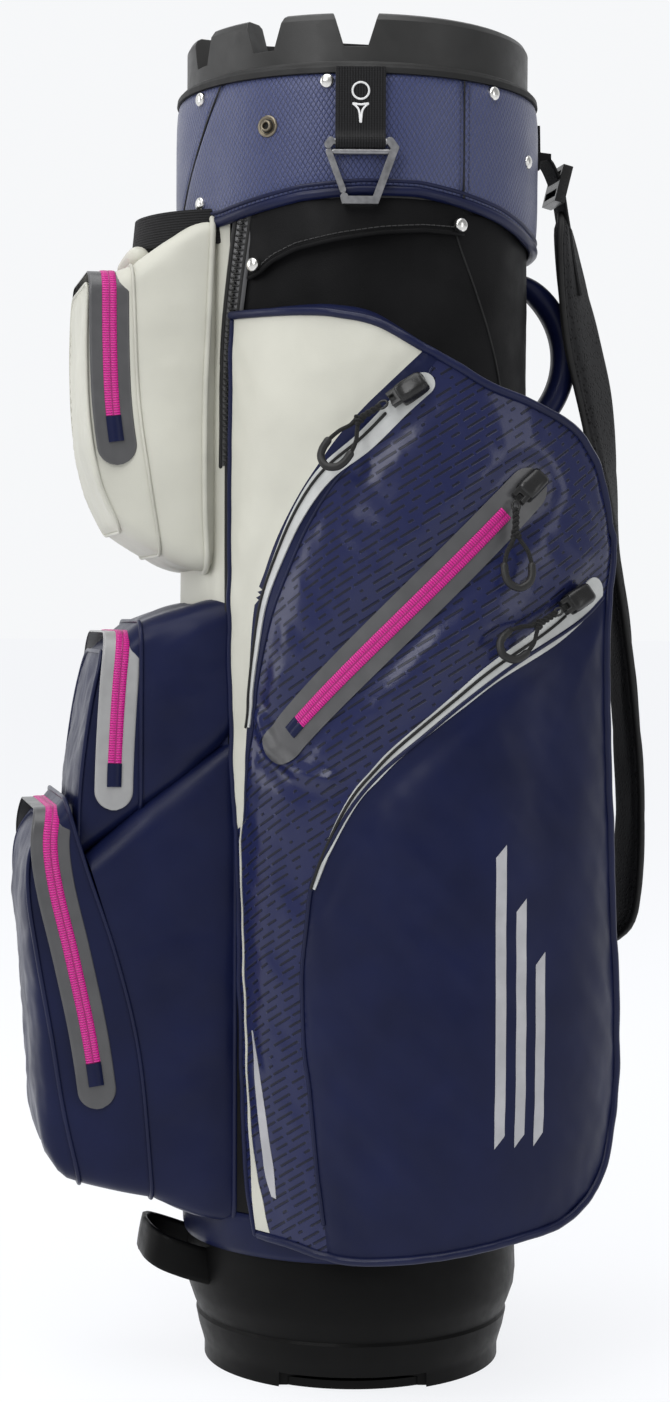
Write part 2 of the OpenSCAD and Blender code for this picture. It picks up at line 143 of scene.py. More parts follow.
def fill(outline, lines, step):
    """Triangles that fill an outline and keep the lines as edges: 2D points and corner indices."""
    rim = [tuple(p) for p in outline]
    points, edges = list(rim), []
    for line in lines:
        keep = [tuple(p) for p, ok in zip(line, inside(line, outline)) if ok]
        first = len(points)
        points += keep
        edges += [(first + i, first + i + 1) for i in range(len(keep) - 1)]
    low, high = np.min(rim, axis=0), np.max(rim, axis=0)
    rows = int((high[1] - low[1]) / (step * 0.866)) + 1
    grid = [
        (low[0] + (i + 0.5 * (j % 2)) * step, low[1] + j * step * 0.866)
        for j in range(rows)
        for i in range(int((high[0] - low[0]) / step) + 1)
    ]
    fixed = [rim + rim[:1]] + [line for line in lines]
    grid = [
        g
        for g, ok, d in zip(grid, inside(grid, rim), distance(grid, fixed))
        if ok and d > 0.55 * step
    ]
    found = geometry.delaunay_2d_cdt(
        [Vector(p) for p in points + grid], edges, [list(range(len(rim)))], 1, 1e-4
    )
    return [tuple(v) for v in found[0]], [tuple(f) for f in found[2]]


def wave(p, scale, seed=0.0):
    """Smooth noise of about unit size for each row of points, at a scale in millimetres."""
    return np.array(
        [noise.noise(Vector((q[0] / scale, q[-1] / scale, seed))) for q in p]
    )


# ---------------------------------------------------------------- making pieces


def link(obj):
    bpy.context.scene.collection.objects.link(obj)


def modify(obj, kind, **values):
    """Adds a modifier with its settings."""
    m = obj.modifiers.new(kind.lower(), kind)
    for key, value in values.items():
        setattr(m, key, value)
    return m


class Shape:
    """Vertices and faces gathered before they become one piece."""

    def __init__(self):
        self.verts, self.faces, self.uv, self.slots = [], [], [], []

    def add(self, verts, faces, uv=None, slot=0):
        base = len(self.verts)
        self.verts += [tuple(v) for v in verts]
        self.faces += [tuple(base + i for i in f) for f in faces]
        self.uv += [tuple(t) for t in uv] if uv is not None else [(0, 0)] * len(verts)
        self.slots += [slot] * len(faces)
        return self

    def grid(self, rows, closed_rows=False, closed_cols=False, uv=None, slot=0, flip=False):
        """A sheet through rows of points of equal length."""
        n, m = len(rows), len(rows[0])
        verts = [v for row in rows for v in row]
        faces = []
        for i in range(n if closed_rows else n - 1):
            for j in range(m if closed_cols else m - 1):
                a, b = i * m + j, i * m + (j + 1) % m
                c, d = ((i + 1) % n) * m + (j + 1) % m, ((i + 1) % n) * m + j
                faces.append((a, d, c, b) if flip else (a, b, c, d))
        flat = [t for row in uv for t in row] if uv is not None else None
        return self.add(verts, faces, flat, slot)

    def make(self, name, mats, body="bag", replaces=(), slot=None):
        """One mesh object in metres, riding on a body."""
        mesh = bpy.data.meshes.new(name)
        mesh.from_pydata([tuple(c * MM for c in v) for v in self.verts], [], self.faces)
        for m in mats if isinstance(mats, (list, tuple)) else [mats]:
            mesh.materials.append(m)
        mesh.polygons.foreach_set("material_index", self.slots)
        layer = mesh.uv_layers.new(name="flat")
        loops = np.empty(len(mesh.loops), np.int32)
        mesh.loops.foreach_get("vertex_index", loops)
        layer.data.foreach_set("uv", np.asarray(self.uv, np.float32)[loops].ravel())
        mesh.polygons.foreach_set("use_smooth", [True] * len(mesh.polygons))
        mesh.validate()
        obj = bpy.data.objects.new(name, mesh)
        link(obj)
        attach(obj, body)
        if replaces:
            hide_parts(*replaces)
        return obj


def frames(path, normals):
    """Unit along, side and up vectors at each point of a path on a surface."""
    p = np.asarray(path, float)
    along = np.gradient(p, axis=0)
    along /= np.maximum(np.linalg.norm(along, axis=1, keepdims=True), 1e-9)
    up = np.asarray(normals, float)
    up = up - (up * along).sum(1, keepdims=True) * along
    up /= np.maximum(np.linalg.norm(up, axis=1, keepdims=True), 1e-9)
    return p, along, np.cross(along, up), up


def lengths(path):
    """Distance along a path at each of its points."""
    p = np.asarray(path, float)
    return np.concatenate([[0], np.cumsum(np.linalg.norm(np.diff(p, axis=0), axis=1))])


def band(shape, path, normals, profile, slot=0, widths=None):
    """Sweeps a profile of (side, up) points along a path on a surface."""
    p, _, side, up = frames(path, normals)
    run = lengths(path)
    wide = widths if widths is not None else np.ones(len(p))
    across = lengths(profile)
    rows = [[p[i] + side[i] * a * wide[i] + up[i] * b for a, b in profile] for i in range(len(p))]
    flat = [[(s, c - across[-1] / 2) for c in across] for s in run]
    return shape.grid(rows, uv=flat, slot=slot, flip=True)


def both_sides(half):
    """A symmetrical profile from its half, which may end on the middle line."""
    return half + [(-a, b) for a, b in half[::-1] if a]


def subdivided(profile, step):
    """A closed profile with no side much longer than step."""
    out = []
    for (a0, b0), (a1, b1) in zip(profile[:-1], profile[1:]):
        k = max(1, round(abs(a1 - a0) / step))
        out += [(a0 + (a1 - a0) * j / k, b0 + (b1 - b0) * j / k) for j in range(k)]
    return out + [profile[0]]


def signed(x, power):
    """A power of a number's size, with the number's own sign."""
    return math.copysign(abs(x) ** power, x)


def turns(count):
    """Angles evenly spaced round a full circle."""
    return np.linspace(0, 2 * math.pi, count + 1)[:-1]


def close_ends(shape, rows, count, flip=False):
    """Flat faces over the first and last rows of the one grid that a shape holds."""
    first = tuple(range(count))
    last = tuple((rows - 1) * count + k for k in range(count))
    shape.faces += [first, last[::-1]] if flip else [first[::-1], last]
    shape.slots += [0, 0]


def tube(shape, path, r, normals=None, sides=10, slot=0, closed=False, squash=1.0):
    """A round tube along a path, with domed ends unless it is closed."""
    p = np.asarray(path, float)
    if normals is None:
        normals = [(0.123, 0.456, 0.88)] * len(p)
    q, along, side, up = frames(p, normals)
    run = lengths(p)
    radii = np.full(len(q), float(r))
    centres = q.copy()
    if not closed:
        k = 4
        head = [(-math.cos(t), math.sin(t)) for t in np.linspace(0.15, 1.3, k)]
        start = [q[0] + along[0] * r * a for a, _ in head]
        tip = [q[-1] - along[-1] * r * a for a, _ in head[::-1]]
        centres = np.vstack([start, q, tip])
        radii = np.concatenate([[r * b for _, b in head], radii, [r * b for _, b in head[::-1]]])
        rep = lambda v: np.vstack([[v[0]] * k, v, [v[-1]] * k])
        side, up = rep(side), rep(up)
        run = np.concatenate([[run[0]] * k, run, [run[-1]] * k])
    angles = [2 * math.pi * j / sides for j in range(sides + 1)]
    rows = [
        [c + s * rr * math.cos(t) + u * rr * squash * math.sin(t) for t in angles]
        for c, s, u, rr in zip(centres, side, up, radii)
    ]
    flat = [[(l, rr * t) for t in angles] for l, rr in zip(run, radii)]
    shape.grid(rows, closed_rows=closed, uv=flat, slot=slot)
    if not closed:
        m = sides + 1
        base = len(shape.verts) - len(rows) * m
        shape.faces.append(tuple(base + j for j in range(sides))[::-1])
        shape.faces.append(tuple(base + (len(rows) - 1) * m + j for j in range(sides)))
        shape.slots += [slot, slot]
    return shape


# ---------------------------------------------------------------- materials


class Paint:
    """A short way to build one procedural material."""

    def __init__(
        self, name, colour, roughness, metallic=0.0, coat=0.0, coat_rough=0.2, sheen=0.0, specular=0.5
    ):
        self.m = bpy.data.materials.new(name)
        self.m.use_nodes = True
        self.t = self.m.node_tree
        self.b = self.t.nodes["Principled BSDF"]
        self.colour = colour
        for socket, value in (
            ("Base Color", (*colour, 1)),
            ("Roughness", roughness),
            ("Metallic", metallic),
            ("Coat Weight", coat),
            ("Coat Roughness", coat_rough),
            ("Sheen Weight", sheen),
            ("Specular IOR Level", specular),
        ):
            self.b.inputs[socket].default_value = value
        self.coords = {}
        self.height = None

    def node(self, kind, **values):
        n = self.t.nodes.new(kind)
        for key, value in values.items():
            if key.startswith("in_"):
                self.put(n.inputs[int(key[3:])], value)
            else:
                setattr(n, key, value)
        return n

    def put(self, socket, value):
        if isinstance(value, bpy.types.NodeSocket):
            self.t.links.new(value, socket)
        else:
            socket.default_value = value

    def where(self, kind, scale=(1, 1, 1), turn=0.0):
        """Coordinates in millimetres: 'object' in space, 'flat' along the piece."""
        key = (kind, scale, turn)
        if key not in self.coords:
            if kind == "flat":
                source = self.node("ShaderNodeUVMap", uv_map="flat").outputs[0]
                size = scale
            else:
                source = self.node("ShaderNodeTexCoord").outputs["Object"]
                size = tuple(s / MM for s in scale)
            n = self.node("ShaderNodeMapping", in_0=source)
            n.inputs["Rotation"].default_value = (0, 0, turn)
            n.inputs["Scale"].default_value = size
            self.coords[key] = n.outputs[0]
        return self.coords[key]

    def math(self, op, a, b=0.0):
        return self.node("ShaderNodeMath", operation=op, in_0=a, in_1=b).outputs[0]

    def ribs(self, value, pitch):
        """Rounded ribs across a value, one for each pitch."""
        return self.math("ABSOLUTE", self.math("SINE", self.math("MULTIPLY", value, math.pi / pitch)))

    def off_middle(self, value):
        """How far a value is from the middle of its unit cell."""
        return self.math("ABSOLUTE", self.math("SUBTRACT", self.math("FRACT", value), 0.5))

    def noise(self, size, detail=3.0, rough=0.5, scale=(1, 1, 1)):
        s = tuple(k / size for k in scale)
        n = self.node("ShaderNodeTexNoise", in_0=self.where("object", s), in_2=1.0, in_3=detail, in_4=rough)
        return n.outputs[0]

    def cells(self, size, feature="F1"):
        n = self.node("ShaderNodeTexVoronoi", feature=feature, in_0=self.where("object", (1 / size,) * 3))
        n.inputs["Scale"].default_value = 1.0
        return n.outputs["Distance"]

    def split(self, kind, scale=(1, 1, 1), turn=0.0):
        n = self.node("ShaderNodeSeparateXYZ", in_0=self.where(kind, scale, turn))
        return n.outputs[0], n.outputs[1], n.outputs[2]

    def ramp(self, value, low, high, out_low, out_high):
        n = self.node("ShaderNodeMapRange", in_0=value, in_1=low, in_2=high, in_3=out_low, in_4=out_high)
        n.clamp = True
        return n.outputs[0]

    def bump(self, height, depth):
        """Adds relief of a depth in millimetres; calls stack up."""
        n = self.node("ShaderNodeBump")
        n.inputs["Strength"].default_value = 1.0
        n.inputs["Distance"].default_value = depth * MM
        self.put(n.inputs["Height"], height)
        if self.height is not None:
            self.put(n.inputs["Normal"], self.height)
        self.height = n.outputs[0]
        self.put(self.b.inputs["Normal"], self.height)
        return self

    def shades(self, value, dark, light, low=0.3, high=0.7):
        """Colour between two shades by a value."""
        n = self.node("ShaderNodeValToRGB", in_0=value)
        n.color_ramp.elements[0].position, n.color_ramp.elements[1].position = low, high
        n.color_ramp.elements[0].color = (*dark, 1)
        n.color_ramp.elements[1].color = (*light, 1)
        self.put(self.b.inputs["Base Color"], n.outputs[0])
        return n.outputs[0]

    def rough(self, value, low, high):
        self.put(self.b.inputs["Roughness"], self.ramp(value, 0.3, 0.7, low, high))
        return self


def tint(c, k):
    """A colour made darker or lighter."""
    return tuple(min(1.0, v * k) for v in c)


NAVY = (0.0062, 0.0092, 0.040)
NAVY_GLOSS = (0.0125, 0.0165, 0.066)
COLLAR_NAVY = (0.030, 0.041, 0.125)
WHITE = (0.565, 0.56, 0.49)
BLACK = (0.0075, 0.0075, 0.008)
MAGENTA = (0.62, 0.006, 0.26)


def leather(name, colour, rough_low, rough_high, grain, depth=0.06, coat=0.0, spread=0.18, specular=0.4):
    """Leatherette: slow shade changes, a grain of small cells and gentle unevenness."""
    p = Paint(name, colour, rough_low, coat=coat, coat_rough=0.28, specular=specular)
    slow = p.noise(55, detail=4)
    p.shades(slow, tint(colour, 1 - spread), tint(colour, 1 + spread))
    p.rough(p.noise(24, detail=3), rough_low, rough_high)
    p.bump(p.cells(grain, feature="DISTANCE_TO_EDGE"), depth)
    p.bump(p.noise(grain * 0.35, detail=2), depth * 0.6)
    p.bump(p.noise(18, detail=2), 0.25)
    return p.m


def make_piping(name, colour, low, high, **kw):
    """Fine leatherette for thin pipings."""
    return leather(name, colour, low, high, grain=0.8, depth=0.03, **kw)


def make_embossed():
    """Glossy navy with rows of short sunk dashes that rise to the right; the dashes are painted darker, as
    painted shade in them.
    """
    p = Paint("navy_dashes", NAVY_GLOSS, 0.24, coat=0.22, coat_rough=0.14, specular=0.25)
    along, across, _ = p.split("flat", turn=math.radians(-32))
    row = p.math("DIVIDE", across, 5.2)
    row_id = p.math("FLOOR", row)
    shift = p.node("ShaderNodeTexWhiteNoise", noise_dimensions="1D")
    p.put(shift.inputs["W"], row_id)
    jig = p.math("MULTIPLY", shift.outputs[0], 31.0)
    cell = p.math("DIVIDE", p.math("ADD", along, jig), 15.0)
    bit = p.node("ShaderNodeTexWhiteNoise", noise_dimensions="2D")
    mix = p.node("ShaderNodeCombineXYZ", in_0=p.math("FLOOR", cell), in_1=row_id)
    p.put(bit.inputs["Vector"], mix.outputs[0])
    span = p.ramp(bit.outputs[0], 0.08, 0.40, 0.10, 0.46)
    end = p.math("SUBTRACT", span, p.off_middle(cell))
    edge = p.math("SUBTRACT", 0.19, p.off_middle(row))
    dash = p.math("MULTIPLY", p.ramp(end, 0.0, 0.05, 0, 1), p.ramp(edge, 0.0, 0.1, 0, 1))
    # painted shade: the sunk dashes take a darker navy than the glossy cloth round them
    p.shades(dash, NAVY_GLOSS, tint(NAVY, 0.45), 0.2, 0.8)
    p.put(p.b.inputs["Roughness"], p.ramp(dash, 0, 1, 0.25, 0.5))
    p.bump(p.math("MULTIPLY", dash, -1.0), 0.5)
    p.bump(p.noise(1.2, detail=2), 0.05)
    p.bump(p.noise(14, detail=3), 0.3)
    return p.m


def make_collar():
    """Navy with a small embossed lattice of diamonds and a sheen; the lattice's grooves are painted dark, as
    painted shade in them.
    """
    p = Paint("navy_diamonds", COLLAR_NAVY, 0.38, coat=0.1, coat_rough=0.3, sheen=0.15)
    a, b, _ = p.split("flat", scale=(1 / 3.4, 1 / 5.4, 1))
    one = p.off_middle(p.math("ADD", a, b))
    two = p.off_middle(p.math("SUBTRACT", a, b))
    tile = p.math("MINIMUM", p.math("SUBTRACT", 0.5, one), p.math("SUBTRACT", 0.5, two))
    line = p.ramp(tile, 0.0, 0.13, 0, 1)
    # painted shade: the grooves between the diamonds are coloured much darker than the diamonds' middles
    p.shades(line, tint(COLLAR_NAVY, 0.38), tint(COLLAR_NAVY, 1.12), 0.0, 0.8)
    p.bump(p.math("MULTIPLY", line, p.ramp(tile, 0, 0.5, 0.7, 1.0)), 0.45)
    p.rough(p.noise(20, detail=3), 0.34, 0.48)
    p.bump(p.noise(0.7, detail=2), 0.04)
    return p.m


def moulded(name, colour, low, high, grain=0.8, depth=0.06, specular=0.4):
    """Plastic or rubber with a fine moulded grain."""
    p = Paint(name, colour, low, specular=specular)
    p.shades(p.noise(40, detail=5), tint(colour, 0.8), tint(colour, 1.2))
    p.rough(p.noise(9, detail=5, rough=0.6), low, high)
    p.bump(p.noise(grain, detail=3, rough=0.6), depth)
    return p.m


def make_webbing(name="webbing_black", colour=BLACK, pitch=1.7):
    """Ribs along the webbing, with the weft's small steps across them; the ribs' crests are painted lighter
    and the hollows darker, as painted highlight and painted shade.
    """
    p = Paint(name, colour, 0.8, sheen=0.04, specular=0.2)
    along, across, _ = p.split("flat")
    rib = p.ribs(across, pitch)
    weft = p.ribs(along, 1.1)
    # painted highlight on the rib crests and painted shade in the hollows between them
    p.shades(rib, tint(colour, 0.5), tint(colour, 2.2), 0.1, 0.95)
    p.bump(rib, 0.35)
    p.bump(weft, 0.15)
    return p.m


def make_mesh_cloth():
    """Padded air mesh: small round holes in rows, painted darker as painted shade in the holes."""
    p = Paint("air_mesh", BLACK, 0.85, sheen=0.04, specular=0.2)
    hole = p.cells(2.6)
    # painted shade: the sunk holes take a darker colour than the mesh between them
    p.shades(hole, tint(BLACK, 0.35), tint(BLACK, 2.0), 0.18, 0.5)
    p.bump(p.ramp(hole, 0.12, 0.45, 0, 1), 0.5)
    p.bump(p.noise(0.5, detail=2), 0.08)
    return p.m


def zip_teeth(name, colour, pitch, depth=0.5, dark=0.45):
    """A coil seen from its flat side: short bars across a band, with a groove down the middle; the gaps and
    the groove are painted darker, as painted shade.
    """
    p = Paint(name, colour, 0.4)
    along, across, _ = p.split("flat")
    bar = p.ribs(along, pitch)
    mid = p.ramp(p.math("ABSOLUTE", across), 0.2, 0.9, 0, 1)
    relief = p.math("MULTIPLY", bar, mid)
    # painted shade: the low places between the bars and down the groove take the darker colour
    p.shades(relief, tint(colour, dark), tint(colour, 1.05), 0.05, 0.75)
    p.bump(relief, depth)
    return p.m


def make_tape(name, colour, low=0.3, high=0.42):
    p = Paint(name, colour, low, coat=0.1)
    p.shades(p.noise(16, detail=3), tint(colour, 0.9), tint(colour, 1.1))
    p.rough(p.noise(8, detail=3), low, high)
    p.bump(p.noise(0.45, detail=2), 0.03)
    return p.m


def metal(name, colour, rough, brushed=0.0):
    """Plated metal with slight wear."""
    p = Paint(name, colour, rough, metallic=1.0)
    p.rough(p.noise(6, detail=4), rough, rough + 0.14)
    p.shades(p.noise(3, detail=4), tint(colour, 0.85), tint(colour, 1.1))
    p.bump(p.noise(0.5, detail=3, scale=(1, 1, 0.2) if brushed else (1, 1, 1)), 0.02 + brushed)
    return p.m


def make_stitch(name, colour):
    p = Paint(name, colour, 0.6, sheen=0.2)
    along, _, _ = p.split("flat")
    twist = p.math("SINE", p.math("MULTIPLY", along, math.pi / 0.5))
    # painted shade between the thread's twists and painted highlight on them
    p.shades(twist, tint(colour, 0.7), tint(colour, 1.15), 0.2, 0.9)
    p.bump(twist, 0.08)
    return p.m


MAT = {
    "navy": leather("navy_leatherette", NAVY, 0.3, 0.44, grain=1.0, depth=0.05, coat=0.03, specular=0.16),
    "white": leather("white_leatherette", WHITE, 0.42, 0.55, grain=1.1, spread=0.05),
    "black": leather("black_leatherette", BLACK, 0.42, 0.6, grain=1.3, depth=0.12, spread=0.3, specular=0.08),
    "dashes": make_embossed(),
    "collar": make_collar(),
    "base": moulded("moulded_black", (0.004, 0.004, 0.004), 0.36, 0.48, specular=0.09),
    "rim": moulded("moulded_charcoal", (0.021, 0.021, 0.0205), 0.38, 0.5),
    "well": moulded("moulded_well", (0.02, 0.02, 0.0205), 0.45, 0.6),
    "liner": moulded("liner_sheet", (0.02, 0.02, 0.021), 0.4, 0.55, grain=2.0),
    "trim": moulded("trim_rubber", (0.006, 0.006, 0.006), 0.55, 0.7),
    "cloth": make_webbing("divider_cloth", (0.035, 0.035, 0.038), 0.9),
    "felt": moulded("floor_felt", (0.03, 0.03, 0.032), 0.85, 0.95, grain=0.6, depth=0.2),
    "webbing": make_webbing(),
    "mesh": make_mesh_cloth(),
    "piping": make_piping("navy_piping", (0.0065, 0.0095, 0.040), 0.28, 0.4, coat=0.1, specular=0.2),
    "piping_light": make_piping("white_piping", tint(WHITE, 0.92), 0.4, 0.5),
    "tape_dark": make_tape("zip_tape_dark", (0.075, 0.075, 0.078)),
    "tape_grey": make_tape("zip_tape_grey", (0.33, 0.33, 0.33)),
    "tape_light": make_tape("zip_tape_light", (0.50, 0.51, 0.50), 0.32, 0.45),
    "magenta": zip_teeth("zip_magenta", MAGENTA, pitch=1.6, dark=0.5),
    "coil_black": zip_teeth("zip_coil_black", (0.012, 0.012, 0.012), pitch=2.6, depth=0.8),
    "coil_white": zip_teeth("zip_coil_white", (0.5, 0.5, 0.49), pitch=1.6),
    "hardware": moulded("black_hardware", (0.012, 0.012, 0.012), 0.22, 0.34, grain=3.0, depth=0.03),
    "rubber": moulded("pull_rubber", (0.012, 0.012, 0.012), 0.42, 0.55, grain=1.2, depth=0.04),
    "cord": make_webbing("pull_cord", (0.012, 0.012, 0.012), 0.8),
    "steel": metal("rivet_steel", (0.78, 0.77, 0.74), 0.16),
    "brass": metal("snap_brass", (0.24, 0.21, 0.16), 0.28),
    "gunmetal": metal("carabiner_metal", (0.30, 0.30, 0.31), 0.30, brushed=0.02),
    "print": make_tape("printed_grey", (0.40, 0.40, 0.42), 0.35, 0.5),
    "print_white": make_tape("printed_white", (0.75, 0.75, 0.75), 0.4, 0.5),
    "thread_black": make_stitch("thread_black", (0.02, 0.02, 0.02)),
    "thread_navy": make_stitch("thread_navy", (0.02, 0.025, 0.07)),
    "thread_light": make_stitch("thread_light", (0.62, 0.61, 0.54)),
}

# ---------------------------------------------------------------- rigid parts kept from the CAD


def finish_cad(node, mat, width):
    """A CAD part with its material and softened edges."""
    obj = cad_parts[node]
    obj.data.materials.clear()
    obj.data.materials.append(mat)
    modify(obj, "WELD", merge_threshold=0.00002)
    if width:
        bevel = modify(obj, "BEVEL", width=width * MM, segments=2, limit_method="ANGLE")
        bevel.angle_limit = math.radians(28)
        bevel.use_clamp_overlap = True
    modify(obj, "WEIGHTED_NORMAL", keep_sharp=False, weight=80)


for node, mat, width in (
    ("base_shell", "base", 0.7),
    ("base_sole", "base", 0.4),
    ("base_floor_pad", "felt", 0.8),
    ("barrel_liner", "liner", 0.0),
    ("top_rim", "rim", 1.1),
    ("well_walls", "well", 0.5),
    ("divider_sheets", "cloth", 0.0),
    ("putter_collar", "well", 0.8),
    ("top_trim_strip", "trim", 0.4),
    ("strap_anchor_top", "webbing", 0.8),
    ("strap_anchor_bottom", "webbing", 0.8),
    ("strap_buckle", "hardware", 0.6),
    ("carabiner_body", "gunmetal", 0.7),
    ("carabiner_gate", "gunmetal", 0.4),
):
    finish_cad(node, MAT[mat], width)
for node in ("carabiner_body", "carabiner_gate"):
    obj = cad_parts[node]
    modify(obj, "DISPLACE", strength=0.55 * MM, mid_level=0.0)
    obj.modifiers.move(len(obj.modifiers) - 1, 1)
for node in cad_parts:
    if node.startswith("zip_slider"):
        finish_cad(node, MAT["hardware"], 0.7)

# ---------------------------------------------------------------- side pockets

# Outlines on the panel laid flat: distance from the front seam, height.
TOP_EDGE = [
    (3, 694), (65, 692), (91, 689), (115, 683), (140, 669), (162, 657), (185, 644), (211, 635),
    (244, 621), (258, 609), (270, 593), (282, 561),
]
REAR_EDGE = [
    (286, 546), (280, 500), (280, 449), (284, 384), (289, 319), (295, 253), (296, 201), (285, 157),
    (268, 133),
]
BOTTOM_EDGE = [
    (240, 117), (209, 111), (182, 106), (157, 102), (132, 99), (106, 97), (86, 98), (57, 103), (33, 105),
]
FRONT_EDGE = [
    (29, 105), (21, 138), (17, 189), (14, 254), (12, 318), (7, 382), (3, 430), (2, 486), (2, 576),
    (2, 654), (3, 690),
]
WHITE_LINE = [
    (144, 668), (141, 664), (122, 646), (106, 631), (89, 613), (78, 599), (62, 578), (46, 553),
    (35, 531), (24, 503), (18, 435), (14, 367), (8, 362),
]
LOWER_LINE = [
    (286, 522), (274, 514), (253, 500), (207, 475), (173, 451), (142, 425), (119, 405), (101, 384),
    (86, 359), (74, 336), (69, 305), (66, 278), (67, 234), (72, 199), (77, 154), (82, 119), (85, 96),
]
ZIPS = [
    [(143, 645), (130, 633), (107, 610), (81, 590), (62, 566), (46, 537), (33, 508), (25, 470), (19, 430)],
    [(210, 581), (195, 566), (128, 498), (57, 428), (50, 421)],
    [
        (265, 518), (252, 508), (229, 492), (190, 468), (166, 449), (142, 429), (125, 414), (114, 402),
        (104, 391), (94, 375), (82, 351), (74, 330),
    ],
]


def side_at(u, z, h=0.0):
    """A point of the right side panel: distance from the front seam, height, and rise off its cylinder."""
    a = math.radians(SEAM_DEG) + u / PANEL_R
    r = PANEL_R + h
    return (PANEL_C[0] + r * math.sin(a), PANEL_C[1] - r * math.cos(a), z)


def side_normal(u):
    """The side panel's outward direction."""
    a = math.radians(SEAM_DEG) + u / PANEL_R
    return (math.sin(a), -math.cos(a), 0.0)


OUTLINE = (
    curve(TOP_EDGE, 4) + curve(REAR_EDGE, 4) + curve(BOTTOM_EDGE, 4) + curve(FRONT_EDGE, 4)
)
WHITE_CURVE = curve(WHITE_LINE, 4)
GARAGE_LINE = [
    (152, 660), (148, 655), (136, 632), (118, 616), (90, 588), (70, 560), (54, 530), (40, 500),
    (29, 462), (22, 425), (16, 372),
]
GARAGE_CURVE = curve(GARAGE_LINE, 4)
GARAGE = WHITE_LINE[:-1] + GARAGE_LINE[::-1]
LOWER_CURVE = curve(LOWER_LINE, 4)
# the end points lie close to their neighbours, so a curve through them would turn back on itself
ZIP_CURVES = [straight(z[:2], 3)[:-1] + curve(z[1:-1], 3)[:-1] + straight(z[-2:], 3) for z in ZIPS]
WHITE_REGION = WHITE_LINE[::-1] + [(152, 678), (160, 760), (-60, 760), (-60, 362)]
LOWER_REGION = LOWER_LINE + [(85, 60), (360, 60), (360, 560), (300, 530)]


def panel_height(points):
    """How far the soft panel stands off its cylinder."""
    p = np.asarray(points, float)
    edge = distance(p, [OUTLINE + OUTLINE[:1]])
    seam = distance(p, [WHITE_CURVE, LOWER_CURVE, GARAGE_CURVE])
    zips = [distance(p, [z]) for z in ZIP_CURVES]
    held = np.minimum(edge, seam)
    lower = inside(p, LOWER_REGION)
    white = inside(p, WHITE_REGION)
    soft = 1 - np.exp(-held / np.where(lower, 42, np.where(white, 30, 16)))
    h = 0.9 + np.where(lower, 8.5, np.where(white, 4.0, 4.2)) * soft
    h += 3.2 * np.exp(-np.maximum(p[:, 0], 0) / 22)
    h -= 0.9 * np.exp(-((seam / 3.0) ** 2))
    # creases that run from the seams into the cloth, and slow waves over all of it
    crease = wave(p * (1.0, 0.45), 9, 3.1) * np.exp(-held / 20)
    long_crease = wave(np.stack([p[:, 0] + 0.9 * p[:, 1], (p[:, 1] - p[:, 0]) * 0.3], 1), 16, 8.2)
    h += np.where(lower, 0.7, 1.1) * crease
    h += np.where(lower, 0.7, np.where(white, 0.5, 0.9)) * long_crease * np.minimum(1, held / 10)
    h += 1.4 * wave(p, 75, 5.5) * np.minimum(1, held / 25)
    # the stiff tapes hold the cloth flat
    for d, half in zip(zips, (9, 15, 9)):
        hold = np.exp(-((np.maximum(d - half, 0) / 9) ** 2))
        rest = 1.0 + 3.2 * np.exp(-np.maximum(p[:, 0], 0) / 22) * 0.25
        h = h * (1 - hold) + rest * hold
    # a fold under the middle zip's lower end
    fold = distance(p, [[(30, 436), (40, 416), (62, 404), (86, 398)]])
    h += 2.6 * np.exp(-((fold / 4.5) ** 2)) - 1.2 * np.exp(-(((fold - 9) / 5) ** 2))
    return h


def on_panel(points, lift=0.0):
    """Flat points carried onto the soft side panel."""
    p = np.asarray(points, float)
    return [side_at(u, z, h + lift) for (u, z), h in zip(p, panel_height(p))]


def mirrored(shape):
    """The same shape on the left."""
    out = Shape()
    out.verts = [(-x, y, z) for x, y, z in shape.verts]
    out.faces = [f[::-1] for f in shape.faces]
    out.uv, out.slots = shape.uv, shape.slots
    return out


def pair(shape, name, mats, replaces=(), **kw):
    """The right-hand piece and its mirror image on the left."""
    for side, s in (("right", shape), ("left", mirrored(shape))):
        s.make(f"{name}_{side}", mats, replaces=[f"{n}_{side}" for n in replaces], **kw)


def flat_piece(outline, lift, step, thick):
    """A patch of sheet on the panel, with a turned-down edge."""
    points, tris = fill(outline, [], step)
    s = Shape().add(on_panel(points, lift), tris, points)
    rims = [on_panel(outline, lift - thick), on_panel(outline, lift)]
    return s.grid(rims, closed_cols=True, uv=[[tuple(p) for p in outline]] * 2)


def patch(shape, outline, lift, step, thick, slot):
    """Adds a flat piece to a shape, in one of its materials."""
    s = flat_piece(outline, lift, step, thick)
    shape.add(s.verts, s.faces, s.uv, slot)


def stadium(path, widths, round_tip=True):
    """Outline of a strip along a flat path, with a round start and, if asked for, a round tip."""
    p = np.asarray(path, float)
    w = np.interp(lengths(p), np.linspace(0, lengths(p)[-1], len(widths)), widths) / 2
    t = unit(np.gradient(p, axis=0))
    n = np.stack([-t[:, 1], t[:, 0]], 1)
    out = list(p + n * w[:, None])
    arc = np.linspace(0.2, math.pi - 0.2, 13)
    if round_tip:
        out += [p[-1] + w[-1] * (n[-1] * math.cos(k) + t[-1] * math.sin(k)) for k in arc]
    out += list((p - n * w[:, None])[::-1])
    out += [p[0] + w[0] * (-n[0] * math.cos(k) - t[0] * math.sin(k)) for k in arc]
    return out[::-1]


def side_panel():
    """The side pocket's face in three cloths, bounded by its seams."""
    points, tris = fill(OUTLINE, [WHITE_CURVE, LOWER_CURVE, GARAGE_CURVE], 3.6)
    centres = np.array([np.mean([points[i] for i in t], axis=0) for t in tris])
    plain = inside(centres, LOWER_REGION) | inside(centres, GARAGE)
    slots = np.where(inside(centres, WHITE_REGION), 0, np.where(plain, 2, 1))
    s = Shape().add(on_panel(points), tris, points)
    s.slots = [int(k) for k in slots]
    return s


